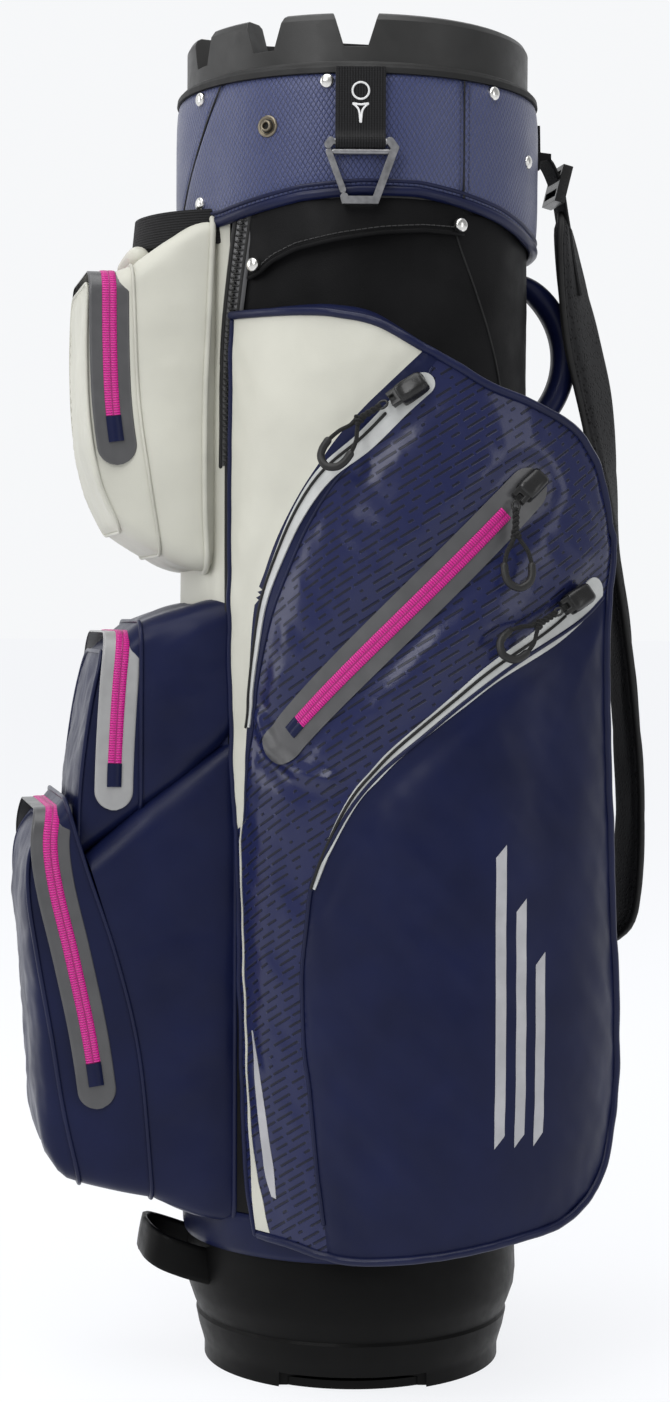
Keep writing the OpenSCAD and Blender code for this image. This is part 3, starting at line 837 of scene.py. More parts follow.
def gusset():
    """The pocket's side wall, from the panel's outline back to the barrel."""
    outer = np.array(on_panel(OUTLINE, -0.4))
    n_top = len(curve(TOP_EDGE, 4))
    n_rear = n_top + len(curve(REAR_EDGE, 4))
    n_bottom = n_rear + len(curve(BOTTOM_EDGE, 4))
    inner, bulge = [], []
    for i, (p, q) in enumerate(zip(OUTLINE, outer)):
        az = math.degrees(math.atan2(q[0], -q[1]))
        to_rear = min(1, max(0, (p[0] - 200) / 75))
        az = az + (157 - az) * to_rear
        rise = 3 if i < n_top else (0 if i < n_rear else 6)
        x, y = at(az, TUBE_R + (0.4 if i < n_rear else -0.4))
        inner.append((x, y, p[1] + rise))
        push = np.array((-0.49, 0.87, 0.0)) * to_rear
        push[2] = (0.5 if i < n_top else (-0.6 if i >= n_rear else 0)) * (1 - 0.6 * to_rear)
        bulge.append(push * (12 if p[0] > 100 else 12 * max(0, p[0]) / 100))
    inner, bulge = np.array(inner), np.array(bulge)
    rows = []
    for t in np.linspace(0, 1, 15):
        w = np.array([0.9 * noise.noise(Vector((p[0] / 22, p[1] / 22, t * 3))) for p in OUTLINE])
        soft = math.sin(math.pi * t**0.75)
        row = outer * (1 - t) + inner * t + bulge * soft + np.outer(w * soft, (0, 1, 0))
        rows.append([tuple(v) for v in row])
    along = lengths(OUTLINE)[:n_bottom]
    uv = [[(a, 60 * t) for a in along] for t in np.linspace(0, 1, 15)]
    return Shape().grid([r[:n_bottom] for r in rows], uv=uv, flip=True)


def on_panel_tube(shape, path, r, lift, squash=1.0):
    return tube(shape, on_panel(path, lift), r, [side_normal(u) for u, _ in path], squash=squash)


mats = [MAT["white"], MAT["dashes"], MAT["navy"]]
pair(side_panel(), "side_panel", mats, replaces=["side_pocket"], slot="navy_leatherette")
pair(gusset(), "side_gusset", MAT["navy"], slot="navy_leatherette")

edge_line = curve(TOP_EDGE + REAR_EDGE + BOTTOM_EDGE, 4)
piping = on_panel_tube(Shape(), edge_line, 2.7, lift=0.6)
on_panel_tube(piping, curve(FRONT_EDGE, 4), 1.7, lift=0.3)
on_panel_tube(piping, curve(LOWER_LINE[1:-1], 4), 1.5, lift=0.5)
on_panel_tube(piping, GARAGE_CURVE[2:], 0.9, lift=0.2)
pair(piping, "side_piping", MAT["piping"], slot="navy_piping")


# the middle zip has a dark tape, and the light tapes of the other two run out to a point
tapes = Shape()
patch(tapes, stadium(ZIP_CURVES[1], [27, 27]), 1.3, 3.0, 1.5, 0)
for i, widths in ((0, [14, 13, 10, 7, 5, 2.5]), (2, [18, 16, 12, 9, 8, 6, 3])):
    patch(tapes, stadium(ZIP_CURVES[i], widths, round_tip=False), 1.1, 2.5, 1.3, 1)
mats = [MAT["tape_dark"], MAT["tape_light"]]
pair(tapes, "side_tapes", mats, replaces=["side_zip_tapes"], slot="zip_tape_dark")


def coil(shape, path, width, lift, slot=0):
    """A zip coil on the side panel, with a groove down its middle."""
    half = [(-width / 2, 0), (-width / 2 + 0.3, 0.63), (-width / 4, 0.9), (-0.4, 0.81), (0, 0.495)]
    return band(shape, on_panel(path, lift), [side_normal(u) for u, _ in path], both_sides(half), slot=slot)


teeth = coil(Shape(), curve(ZIPS[1][1:4], 3), 9.2, 1.6)
coil(teeth, curve([(64, 435), (60.5, 431.5), (57, 428)], 1), 9.6, 1.65, slot=1)
pair(teeth, "side_coil", [MAT["magenta"], MAT["navy"]], slot="zip_coil")
slit = Shape()
for path in (ZIP_CURVES[0], ZIP_CURVES[2]):
    q = np.asarray(path[6:], float)
    t = unit(np.gradient(q, axis=0))
    run = lengths(q)
    w = np.interp(run, [0, run[-1]], [3.0, 1.2])
    shifted = q + np.stack([t[:, 1], -t[:, 0]], 1) * w[:, None]
    for _ in range(6):
        shifted[1:-1] = (shifted[:-2] + 2 * shifted[1:-1] + shifted[2:]) / 4
    on_panel_tube(slit, shifted[4:], 1.0, lift=1.5, squash=0.7)
pair(slit, "side_slits", MAT["trim"], slot="zip_coil")

# slivers of light cloth low on the panel, each between a rear and a front line
sliver = Shape()
for slot, rear_line, front_line in (
    (0, [(13, 367), (19, 254), (23, 190), (28, 126), (30, 108)],
     [(43, 108), (38, 128), (32, 146), (25, 190), (21, 254), (14.5, 367)]),
    (1, [(27, 236), (33, 192), (39, 150), (45, 132)], [(49, 131), (47, 149), (39, 193), (28, 236)]),
):
    patch(sliver, (curve(rear_line, 5) + curve(front_line, 5))[::-1], 0.45, 4.0, 0.5, slot)
pair(sliver, "side_slivers", [MAT["white"], MAT["print"]], slot="white_leatherette")

# ---------------------------------------------------------------- barrel, collar and flap


def sway(deg, z, scale, amount, seed=0.0):
    """Slow unevenness of cloth round the barrel, which meets itself after a full turn."""
    a = math.radians(deg)
    x, y = math.sin(a) * TUBE_R, math.cos(a) * TUBE_R
    return amount * noise.noise(Vector((x / scale, y / scale, z / scale + seed)))


def wrapped(levels, angles, radius, flat_r):
    """A grid round the barrel whose radius is a function of angle and height, and its flat places."""
    rows = [[(*at(a, radius(a, z)), z) for a in angles] for z in levels]
    return rows, [[(math.radians(a) * flat_r, z) for a in angles] for z in levels]


def lerp_at(table, x):
    """A value from a table of pairs."""
    xs, ys = zip(*table)
    return float(np.interp(x, xs, ys))


TUBE_SEAM = [(108.7, 768), (111.9, 743), (119.6, 711), (126.9, 681), (132.8, 649), (137, 600), (139, 500)]

rows, flat = wrapped(
    np.arange(114.5, 762, 4.0),
    [-180 + 1.5 * k for k in range(240)],
    lambda a, z: TUBE_R + sway(a, z, 36, 0.45) + sway(a, z * 3, 30, 0.2, 4.0),
    TUBE_R,
)
cover = Shape().grid(rows, closed_cols=True, uv=flat)
cover.make("barrel_cloth", MAT["black"], replaces=["barrel_cover"], slot="black_leatherette")

seams = Shape()
path = curve(TUBE_SEAM, 4)
tube(seams, around(path, TUBE_R + 0.25), 0.7, rays(path), sides=6)
pair(seams, "barrel_seam", MAT["trim"], slot="black_leatherette")

profile = [
    (111.4, 114.2), (114.4, 113.5), (115.4, 108), (115.5, 100), (115.0, 91), (114.0, 87), (111.6, 86.6),
]
heights = lengths(profile)
angles = [3.0 * i for i in range(120)]
lower_band = Shape().grid(
    [[(*at(a, r), z) for r, z in profile] for a in angles],
    closed_rows=True,
    uv=[[(math.radians(a) * profile[0][0], v) for v in heights] for a in angles],
)
lower_band.make("lower_band_cloth", MAT["navy"], replaces=["lower_band"], slot="navy_leatherette")


def collar_low(a):
    """The collar's lower edge dips at the front and at the back."""
    return lerp_at(
        [(0, 755.5), (31.7, 757), (47.7, 763), (60.9, 768), (78.9, 771), (97.1, 771), (110.7, 767),
         (127.5, 761), (139.4, 755.5), (148.5, 751), (165, 748), (180, 747)],
        abs(a),
    )


def slant(z):
    """Where the collar's front seam is, at a height."""
    return lerp_at([(768, 7.2), (841, 31.4)], z)


collar = Shape()
rows, flat = [], []
levels = [0, 0.02, 0.06] + list(np.linspace(0.1, 0.94, 26)) + [0.98, 1.0]
for t in levels:
    row, line = [], []
    for k in range(360):
        a = -180.0 + k
        low = collar_low(a)
        z = low + (COLLAR_TOP + 0.8 - low) * t
        puff = (1 - abs(2 * t - 1) ** 5) ** 0.5
        r = 118.6 + 3.1 * puff + sway(a, z, 30, 0.35, 2.0) * puff
        r -= 1.6 * math.exp(-(((abs(a) - slant(z)) / 0.9) ** 2))
        r -= 1.0 * math.exp(-(((abs(a) - REAR_SEAM_DEG) / 0.8) ** 2))
        x, y = at(a, r)
        row.append((x, y, z))
        line.append((math.radians(a) * COLLAR_R, z - low))
    rows.append(row)
    flat.append(line)
turned_in = around([(-180.0 + k, collar_low(-180.0 + k) + 1) for k in range(360)], 116.2)
collar.grid([turned_in] + rows, closed_cols=True, uv=flat[:1] + flat)
obj = collar.make("collar", MAT["collar"], replaces=["collar_band"], slot="navy_embossed")

edging = Shape()
for out, rise, r, sides in ((118.8, -1.5, 3.4, 12), (120.6, 4.2, 1.3, 8)):
    line = [(a, collar_low(a) + rise) for a in range(-180, 180, 2)]
    tube(edging, around(line, out), r, rays(line), closed=True, sides=sides)
edging.make("collar_edge", MAT["piping"], replaces=["collar_piping"], slot="navy_piping")


def stitches(shape, path, normals):
    """Separate stitches along a path."""
    length, gap = 2.6, 1.2
    p = np.asarray(path, float)
    run = lengths(p)
    n = np.asarray(normals, float)
    start = 0.5
    while start + length < run[-1]:
        s = np.linspace(start, start + length, 4)
        q = np.stack([np.interp(s, run, p[:, k]) for k in range(3)], 1)
        m = np.stack([np.interp(s, run, n[:, k]) for k in range(3)], 1)
        q = q + m * np.array([-0.25, 0.15, 0.15, -0.25])[:, None]
        tube(shape, q, 0.35, m, sides=5)
        start += length + gap
    return shape


welts = Shape()
for side in (1, -1):
    for low, seam in ((764, slant), (768, lambda z: REAR_SEAM_DEG)):
        line = [(side * seam(z), z) for z in np.linspace(low, 841, 30)]
        tube(welts, around(line, 120.9), 0.6, rays(line), sides=6)
welts.make("collar_welts", MAT["trim"], slot="navy_piping")
thread = Shape()
for side in (1, -1):
    for shift in (-1.6, 1.6):
        heights = np.linspace(collar_low(112) + 6, COLLAR_TOP - 1, 30)
        line = [(side * (REAR_SEAM_DEG + shift), z) for z in heights]
        stitches(thread, around(line, 121.75), rays(line))
thread.make("collar_stitches", MAT["thread_navy"], slot="navy_piping")


def webbing_band(shape, path, normals, width, thick):
    """Flat webbing along a path, with rounded selvedges."""
    w, t, edge = width / 2, thick, 0.5
    half = [(-w + edge, 0), (-w, t * 0.5), (-w + edge, t)]
    return band(shape, path, normals, subdivided(both_sides(half) + half[:1], 1.5))


# hanger tab: webbing folded round the carabiner's bar
TAB_DEG = 79.0
tab_n = np.array([*at(TAB_DEG, 1.0), 0.0])
side_v = np.array([math.cos(math.radians(TAB_DEG)), math.sin(math.radians(TAB_DEG)), 0.0])


def on_tab(x, z, out=126.0):
    """A point by the tab: across it, height, and distance from the bag's axis."""
    return tab_n * out + side_v * x + np.array((0, 0, z))


bar = on_tab(0, 798.2, COLLAR_R + 4.2)
fold = [bar + 2.5 * (tab_n * math.cos(k) + (0, 0, math.sin(k))) for k in np.linspace(1.0, -2.6, 20)]
face_path = [on_tab(0, z, 124.2) for z in np.linspace(845, 806, 14)] + fold
tab = Shape()
webbing_band(tab, face_path, [tab_n] * 14 + [(q - bar) / 2.5 for q in fold], 31.5, 1.5)
webbing_band(tab, [on_tab(0, z, 121.9) for z in np.linspace(845, 800, 12)], [tab_n] * 12, 31.5, 1.5)
tab.make("hanger_webbing", MAT["webbing"], replaces=["hanger_tab"], slot="webbing_black")

# the carabiner's crossbar, below the bar that the tab holds
brace = tube(Shape(), [on_tab(x, 792.0) for x in (-17, -15, -8, 0, 8, 15, 19)], 2.0, [tab_n] * 7, sides=14)
brace.make("carabiner_crossbar", MAT["gunmetal"], body="carabiner", slot="carabiner_metal")

# a ball on a tee, printed on the tab
mark = Shape()
ball = [on_tab(5.2 * math.cos(k), 830 + 5.2 * math.sin(k)) for k in turns(32)]
tube(mark, ball, 0.65, [tab_n] * 32, sides=8, closed=True, squash=0.5)
stem = [(-4.6, 821.6), (-3.0, 820.4), (-1.0, 817.4), (-0.2, 810.5)]
for pts in (stem, [(-x, z) for x, z in stem], [(-4.6, 822.0), (0, 821.4), (4.6, 822.0)]):
    q = [on_tab(*p) for p in curve(pts, 1)]
    tube(mark, q, 0.65, [tab_n] * len(q), sides=8, squash=0.5)
mark.make("tab_print", MAT["print_white"], slot="webbing_black")

# the curved flap that serves as a side grab handle
FLAP = [
    (43.3, 717), (47, 719.5), (52, 726), (59.9, 732.5), (72.8, 738), (85.4, 742), (98.5, 744.5), (111.9, 745),
]


def flap_r(a):
    """The flap's distance from the axis, which bows out between its two rivets."""
    t = (a - 42.0) / (113.4 - 42.0)
    return 117.2 + 6.8 * max(0.0, math.sin(math.pi * t)) ** 0.5


flap = Shape()
rows, flat = [], []
angles = list(np.linspace(42.2, 113.2, 60))
for t in np.linspace(0, 1, 12):
    row, line = [], []
    for a in angles:
        low = lerp_at(FLAP, a)
        z = low + (766 - low) * t
        r = 117.2 + (flap_r(a) - 117.2) * (1 - t) ** 0.8 + sway(a, z, 18, 0.5, 7.0)
        row.append((*at(a, r), z))
        line.append((math.radians(a) * 120, z))
    rows.append(row)
    flat.append(line)
back_rows = [[(p[0] * 0.984, p[1] * 0.984, p[2]) for p in row] for row in rows]
flap.grid(back_rows[::-1] + rows, uv=flat[::-1] + flat)
for col in (0, -1):
    flap.grid([[r[col] for r in rows], [r[col] for r in back_rows]], uv=[[(0, 0)] * 12] * 2, flip=col == 0)
hem = [(*at(a, flap_r(a) - 0.6), lerp_at(FLAP, a) + 0.4) for a in angles]
tube(flap, hem, 1.5, [(*at(a, 1.0), 0) for a in angles], sides=8)
pair(flap, "side_flap_cloth", MAT["black"], replaces=["side_flap"], slot="black_leatherette")
thread = Shape()
line = [(a, lerp_at(FLAP, a) + 4.0) for a in np.linspace(46, 110, 60)]
stitches(thread, [(*at(a, flap_r(a) + 0.2), z) for a, z in line], rays(line))
pair(thread, "flap_stitches", MAT["thread_black"], slot="black_leatherette")

# front panel, and the vertical zip beside it


def front_r(a, z):
    """The front panel is puffed between its edges, with a seam inside each of them."""
    edge = min(1.0, (FRONT_HALF_DEG - abs(a)) / 4)
    r = 115.3 + 2.7 * edge**0.5 + sway(a, z, 34, 0.8, 9.0) * edge
    return r - 0.9 * math.exp(-(((abs(a) - 25.5) / 0.9) ** 2))


levels = np.linspace(115, 756, 160)
rows, flat = wrapped(levels, np.linspace(-FRONT_HALF_DEG, FRONT_HALF_DEG, 45), front_r, 118)
cut = int(160 * (FRONT_SPLIT_Z - 115) / (756 - 115))
front = Shape().grid(rows[:cut], uv=flat[:cut], slot=1).grid(rows[cut - 1 :], uv=flat[cut - 1 :])
front.make("front_cloth", [MAT["white"], MAT["navy"]], replaces=["front_panel"], slot="white_leatherette")

COIL_PATH = [(40, 757), (36.6, 717), (34.4, 686), (33.4, 654), (33.4, 621), (33.2, 598)]
seam_coil = Shape()
path = np.array(curve(COIL_PATH, 1))
band(seam_coil, around(path, 116.9), rays(path), both_sides([(-9, -1.0), (-8.6, 0.4), (-3.4, 0.6)]))
run = lengths(around(path, 118.0))
tooth = ((3.4, 0.0), (3.0, 1.0), (1.2, 1.7), (-0.5, 1.3), (-0.9, 0.5))
for k, s in enumerate(np.arange(1, run[-1] - 1, 1.9)):
    a, z = np.interp(s, run, path[:, 0]), np.interp(s, run, path[:, 1])
    n, across = np.array((*at(a, 1.0), 0)), np.array((*at(a + 90, 1.0), 0))
    lean = 1.0 if k % 2 else -1.0
    q = [n * (117.5 + h) + across * w * lean + np.array((0, 0, z)) for w, h in tooth]
    tube(seam_coil, q, 0.72, [n] * 5, sides=6, slot=1)
other = mirrored(seam_coil)
seam_coil.add(other.verts, other.faces, other.uv)
seam_coil.slots = other.slots + other.slots
seam_coil.make("seam_coils", [MAT["tape_dark"], MAT["coil_black"]], replaces=["seam_zips"], slot="zip_coil")
welt = Shape()
for points, offset, out, r in (
    (COIL_PATH, -3.1, 117.2, 1.5),
    (COIL_PATH, 2.8, 117.2, 1.3),
    ([(33.2, 600), (33.3, 540), (33.6, 486), (34.5, 440)], 0, 117.6, 1.5),
):
    path = curve([(a + offset, z) for a, z in points], 4)
    tube(welt, around(path, out), r, rays(path), sides=8)
pair(welt, "seam_welt", MAT["trim"], slot="zip_coil")

# rivets and the snap stud, each turned about its own axis


def turned_at(shape, deg, r, z, profile, slot=0):
    """Turns (radius, outward) points about a line that leaves the barrel at an angle."""
    n = np.array([*at(deg, 1.0), 0.0])
    a, b = np.array([-n[1], n[0], 0.0]), np.array([0.0, 0.0, 1.0])
    c = n * r + (0, 0, z)
    rows = [[c + n * h + (a * math.cos(t) + b * math.sin(t)) * q for t in turns(32)] for q, h in profile]
    shape.grid(rows, closed_cols=True, slot=slot)


ARC = [(4.45 * math.cos(t), 0.5 + 2.3 * math.sin(t)) for t in np.linspace(0.05, 1.5, 9)]
DOME = [(4.4, -2.0), (4.5, 0.3)] + ARC + [(0.02, 2.8)]
ON_COLLAR = COLLAR_R + 0.2


def studs(name, node, places):
    """Domed rivets on both sides of the bag, each place an angle, a height and a radius."""
    shape = Shape()
    for deg, z, r in places:
        turned_at(shape, deg, r, z, DOME)
        turned_at(shape, -deg, r, z, DOME)
    shape.make(name, MAT["steel"], replaces=[node], slot="rivet_steel")


collar_places = ((21.4, 836), (69, 837), (124, 837), (21.5, 768.6), (145, 800))
studs("collar_studs", "collar_rivets", [(deg, z, ON_COLLAR) for deg, z in collar_places])
studs("flap_studs", "flap_rivets", [(45.4, 724.5, 122.4), (110.5, 750, 123.6)])

# the snap's socket: outer ring, a well in dark rubber as painted shade, inner ring, and a dark disc at the
# bottom of the hole as painted shade
stud = Shape()
for slot, profile in (
    (0, [(6.6, -2.0), (7.0, 0.2), (6.8, 0.9), (6.1, 1.3), (5.2, 1.1), (4.9, 0.5), (4.4, 0.5)]),
    (1, [(4.6, 0.4), (3.6, 0.45), (3.4, 0.5)]),
    (0, [(3.6, 0.2), (3.5, 2.9), (3.1, 3.4), (2.4, 3.3), (2.1, 2.8), (2.0, 1.0)]),
    (1, [(2.1, 1.1), (0.02, 1.0)]),
):
    turned_at(stud, 50.3, ON_COLLAR, 811, profile, slot=slot)
stud.make("snap_socket", [MAT["brass"], MAT["trim"]], replaces=["snap_stud"], slot="snap_brass")

# ---------------------------------------------------------------- front pockets


PLEAT = 6.5
IN_SECTION = (1, 0, 1)


def uneven(points, size, seed):
    """Smooth noise for each point, at a size in millimetres along each axis."""
    a, b, c = size
    return np.array([noise.noise(Vector((x / a + seed, y / b, z / c))) for x, y, z in points])


def rounded(x, height, r, count):
    """Even points of a rounded rectangle from its low middle: x, share of the height, distance round."""
    pts = [(0.0, 0.0)]
    for cx, cz, a0 in ((x - r, r, -90), (x - r, height - r, 0), (-x + r, height - r, 90), (-x + r, r, 180)):
        corner = np.radians(range(a0, a0 + 91, 9))
        pts += [(cx + r * math.cos(a), cz + r * math.sin(a)) for a in corner]
    p = np.array(pts + [(0.0, 0.0)])
    run = lengths(p)
    s = np.linspace(0, run[-1], count + 1)[:-1]
    return np.interp(s, run, p[:, 0]), np.interp(s, run, p[:, 1]) / height, s


def station(flank, x, r):
    """A closed section through a pocket; flank is its side view from top to bottom."""
    f = np.array(curve(flank, 3), float)
    f = f[np.argsort(-f[:, 1])]
    top, low = f[0, 1], f[-1, 1]
    px, share, run = rounded(x, top - low, r, 220)
    z = low + share * (top - low)
    y = np.interp(z, f[::-1, 1], f[::-1, 0])
    return np.stack([px, y, z], 1), run


def skin(shape, a, b, rows, puff, seed, pleats=0.0, rough=1.0):
    """Cloth between two sections, standing off a little between its seams."""
    (pa, run), (pb, _) = a, b
    centre = (pa + pb).mean(axis=0) / 2
    out, flat = [], []
    depth = np.linalg.norm(pa - pb, axis=1).mean()
    for t in np.linspace(0.0, 1.0, rows):
        p = pa * (1 - t) + pb * t
        away = unit((p - centre) * IN_SECTION)
        soft = math.sin(math.pi * t) ** 0.7
        n = uneven(p, (26, 30, 26), seed)
        m = uneven(p, (9, 16, 9), seed)
        gather = pleats * np.sin(run * 2 * math.pi / PLEAT + 3 * n) * math.exp(-(1 - t) * depth / 5)
        h = puff * soft + rough * (1.6 * n + 0.5 * m) * soft + gather
        out.append(p + away * h[:, None])
        flat.append([(s, depth * t) for s in run])
    shape.grid(out, closed_cols=True, uv=flat, flip=True)


def face(shape, edge, run, bulge, seed, pleats):
    """The pocket's front, which swells from its edge seam, by a table of heights and swells."""
    centre = edge.mean(axis=0)
    out, flat = [], []
    order = np.argsort(edge[:, 2])
    for t in np.linspace(0, 0.97, 26):
        p = edge * (1 - t) + centre * t
        p[:, 1] = np.interp(p[:, 2], edge[order, 2], edge[order, 1])
        away = unit((edge - centre) * IN_SECTION)
        rim = np.linalg.norm((edge - p)[:, [0, 2]], axis=1)
        n = uneven(p, (30, math.inf, 30), seed)
        m = uneven(p, (10, math.inf, 10), seed)
        h = np.interp(p[:, 2], *bulge) * (1 - np.exp(-rim / 9))
        h = h + (1.8 * n + 0.6 * m) * np.minimum(1, rim / 12)
        h += pleats * np.sin(run * 2 * math.pi / PLEAT + 2 * n) * np.exp(-rim / 8) * np.minimum(1, rim / 1.5)
        q = p.copy()
        q[:, 1] -= h
        q += away * (2.2 * np.sin(np.minimum(1, rim / 14) * math.pi))[:, None]
        out.append(q)
        flat.append([(x, z) for x, z in zip(q[:, 0], q[:, 2])])
    shape.grid(out, closed_cols=True, uv=flat, flip=True)
    base = len(shape.verts) - len(edge)
    shape.faces.append(tuple(range(base, len(shape.verts)))[::-1])
    shape.slots.append(0)


def outward(ring):
    """Unit vectors square to a section's edge, away from its middle."""
    n = ring - ring.mean(axis=0)
    along = unit(np.roll(ring, -1, axis=0) - np.roll(ring, 1, axis=0))
    n -= (n * along).sum(1, keepdims=True) * along
    n[:, 1] *= 0.15
    return unit(n)


def loop_path(ring, z_end, lift):
    """The part of a section above a height on both flanks, going over the top."""
    keep = [i for i, p in enumerate(ring) if p[2] >= z_end]
    # indices run from the bottom's middle up the right flank, so this part is continuous
    n = outward(ring)
    return [ring[i] + n[i] * lift for i in keep], [n[i] for i in keep]


def end_widths(path, radius):
    """Widths along a path that make its two ends round."""
    run = lengths(path)
    near = np.minimum(run, run[-1] - run)
    return np.sqrt(np.clip(1 - (1 - np.minimum(near / radius, 1)) ** 2, 0.02, 1))


def finer(path, normals, step):
    """The same path and normals, resampled evenly."""
    p, n = np.asarray(path, float), np.asarray(normals, float)
    run = lengths(p)
    s = np.linspace(0, run[-1], int(run[-1] / step) + 1)
    return (
        np.stack([np.interp(s, run, p[:, k]) for k in range(3)], 1),
        np.stack([np.interp(s, run, n[:, k]) for k in range(3)], 1),
    )


def tape_profile(w):
    """A tape's section, with its edges turned down."""
    k = [-w / 2, -w / 2 + 0.3] + list(np.linspace(-w / 2 + 2, w / 2 - 2, 7)) + [w / 2 - 0.3, w / 2]
    return [(a, 0 if i in (0, len(k) - 1) else 1.0) for i, a in enumerate(k)]


def pocket(
    name, stations, x, r, mats, puff, bulge, seed, pleats, zip_end, zip_at, tape_w, coil_w
):
    """A front pocket: side wall, zip gusset, swelling front, piping, and the zip over its top.

    Each station is a side view (y, z) of a section from top to bottom, and x is its half width.
    """
    cloth, piping, tape = (MAT[m] for m in mats)
    slot, thin = ("white_leatherette", 0.75) if "upper" in name else ("navy_leatherette", 1.0)
    wall0, wall1, wall2 = (station(s, w, r) for s, w in zip(stations[:3], x[:3]))
    gus0, gus1 = (station(s, w, r) for s, w in zip(stations[3:5], x[3:5]))
    body = Shape()
    skin(body, wall0, wall1, 7, puff[0] * 0.6, seed)
    skin(body, wall1, wall2, 16, puff[0], seed + 4)
    skin(body, gus0, gus1, 12, puff[1], seed + 9, pleats=pleats * 0.15, rough=0.12)
    face(body, gus1[0], gus1[1], bulge, seed + 13, pleats)
    body.make(f"{name}_cloth", cloth, replaces=[name], slot=slot)
    pipe = Shape()
    for ring, rr, lift in ((wall1[0], 2.0, 1.0), (gus0[0], 1.4 * thin, 0.6), (gus1[0], 1.5 * thin, 0.7)):
        n = outward(ring)
        tube(pipe, ring + n * lift, rr, n, closed=True, sides=10)
    pipe.make(f"{name}_piping", piping, slot="navy_piping")
    mid = gus0[0] * (1 - zip_at) + gus1[0] * zip_at
    path, normals = finer(*loop_path(mid, zip_end, puff[1] + 1.35), 1.5)
    strip = Shape()
    band(strip, path, normals, tape_profile(tape_w), widths=end_widths(path, tape_w / 2))
    strip.make(f"{name}_tape", tape, replaces=[f"{name}_zips"], slot="zip_tape_dark")
    run = lengths(path)
    keep = (run > tape_w * 0.95) & (run < run[-1] - tape_w * 0.95)
    teeth = Shape()
    half = coil_w / 2
    profile = [(-half, 0), (-half + 0.3, 0.7), (-half / 2, 0.95), (-0.4, 0.85), (0, 0.5)]
    lifted = path + normals * 0.8
    band(teeth, lifted[keep], normals[keep], both_sides(profile))
    teeth.make(f"{name}_coil", MAT["magenta"], slot="zip_coil")
    # cloth stops at the zip's two ends
    stops = Shape()
    profile = both_sides([(-half - 0.2, 0), (-half, 1.0)])
    for s, near, far in ((run, 0.55, 1.25), (run[-1] - run, 0.45, 0.95)):
        keep = (s > tape_w * near) & (s < tape_w * far)
        band(stops, (lifted + normals * 0.4)[keep], normals[keep], profile)
    stops.make(f"{name}_zip_stops", MAT["navy"], slot="navy_leatherette")


pocket(
    "upper_pocket",
    [
        [(-101, 762), (-101, 534)],
        [(-107, 760), (-110, 690), (-112, 641), (-112, 576), (-110, 531)],
        [(-158, 727), (-157, 700), (-154, 640), (-147, 590), (-139, 541)],
        [(-159, 727), (-158, 700), (-155, 640), (-148, 590), (-140, 541)],
        [(-187, 715), (-188, 672), (-186, 627), (-179, 588), (-165, 556)],
    ],
    (47, 59.5, 57.5, 57.5, 51),
    r=13,
    mats=("white", "piping_light", "tape_dark"),
    puff=(3.4, 0.6),
    bulge=([540, 600, 672, 700], [2, 2.5, 1, 0]),
    seed=1.3,
    pleats=1.0,
    zip_end=596,
    zip_at=0.53,
    tape_w=26,
    coil_w=9.5,
)
pocket(
    "middle_pocket",
    [
        [(-84, 515), (-84, 424)],
        [(-92, 514), (-92, 424)],
        [(-152, 497), (-152, 373)],
        [(-153, 497), (-153, 372)],
        [(-177, 477), (-184, 447), (-189, 414), (-192, 382), (-193, 342)],
    ],
    (70, 67.5, 59, 59, 52),
    r=15,
    mats=("navy", "piping", "tape_grey"),
    puff=(3.0, 0.6),
    bulge=([345, 390, 430, 480], [5, 3.5, 0.8, 0]),
    seed=5.2,
    pleats=0.25,
    zip_end=375,
    zip_at=0.44,
    tape_w=25,
    coil_w=9.0,
)
pocket(
    "ball_pocket",
    [
        [(-84, 430), (-84, 100)],
        [(-92, 425), (-92, 104)],
        [(-188, 346), (-168, 280), (-153, 215), (-144, 122)],
        [(-202, 383), (-189, 340), (-169, 280), (-154, 215), (-145, 122)],
        [(-214, 368), (-224, 348), (-225, 320), (-219, 280), (-210, 229), (-202, 180), (-191, 132)],
    ],
    (70, 67.5, 64.5, 64.5, 57),
    r=14,
    mats=("navy", "piping", "tape_dark"),
    puff=(3.0, 0.8),
    bulge=([135, 150, 200, 260, 330, 375], [17, 19, 15, 9, 2, 0]),
    seed=9.4,
    pleats=0.25,
    zip_end=182,
    zip_at=0.56,
    tape_w=25,
    coil_w=9.5,
)

roll = Shape()
path = [(x, -150 - 0.002 * x * x, 737.5 - 0.004 * x * x) for x in np.linspace(-28, 28, 30)]
tube(roll, path, 7.5, [(0, 0, 1)] * 30, sides=20)
tube(roll, [(x, y + 2.0, z - 6.5) for x, y, z in path], 1.4, [(0, 0, 1)] * 30, sides=8)
roll.make("pocket_roll", MAT["white"], slot="white_leatherette")

# ---------------------------------------------------------------- handles and strap

# the second handle is moulded onto the base and droops where it joins it
low = curve([(35.5, -101, 69), (35.5, -118, 74.5), (32, -133, 80), (21, -141, 84), (0, -143.5, 85.5)], 2)
low += [(-x, y, z) for x, y, z in low[-2::-1]]
normals = []
for x, y, z in low:
    n = Vector((x / 33, (y + 118) / 24, 0)).normalized()
    normals.append((n.x, n.y, 0.14))
handle = Shape()
upper = both_sides([(-11.5, 0), (-10.8, 0.6), (-6, 0.9), (0, 1)])
profile = [(w, 2.0 * signed(h, 0.5)) for w, h in upper + [(10.8, -0.6), (0, -1), (-10.8, -0.6), (-11.5, 0)]]
band(handle, low, normals, subdivided(profile, 2))
handle.make("base_grab_handle", MAT["base"], replaces=["base_grab_bar"], slot="moulded_black")

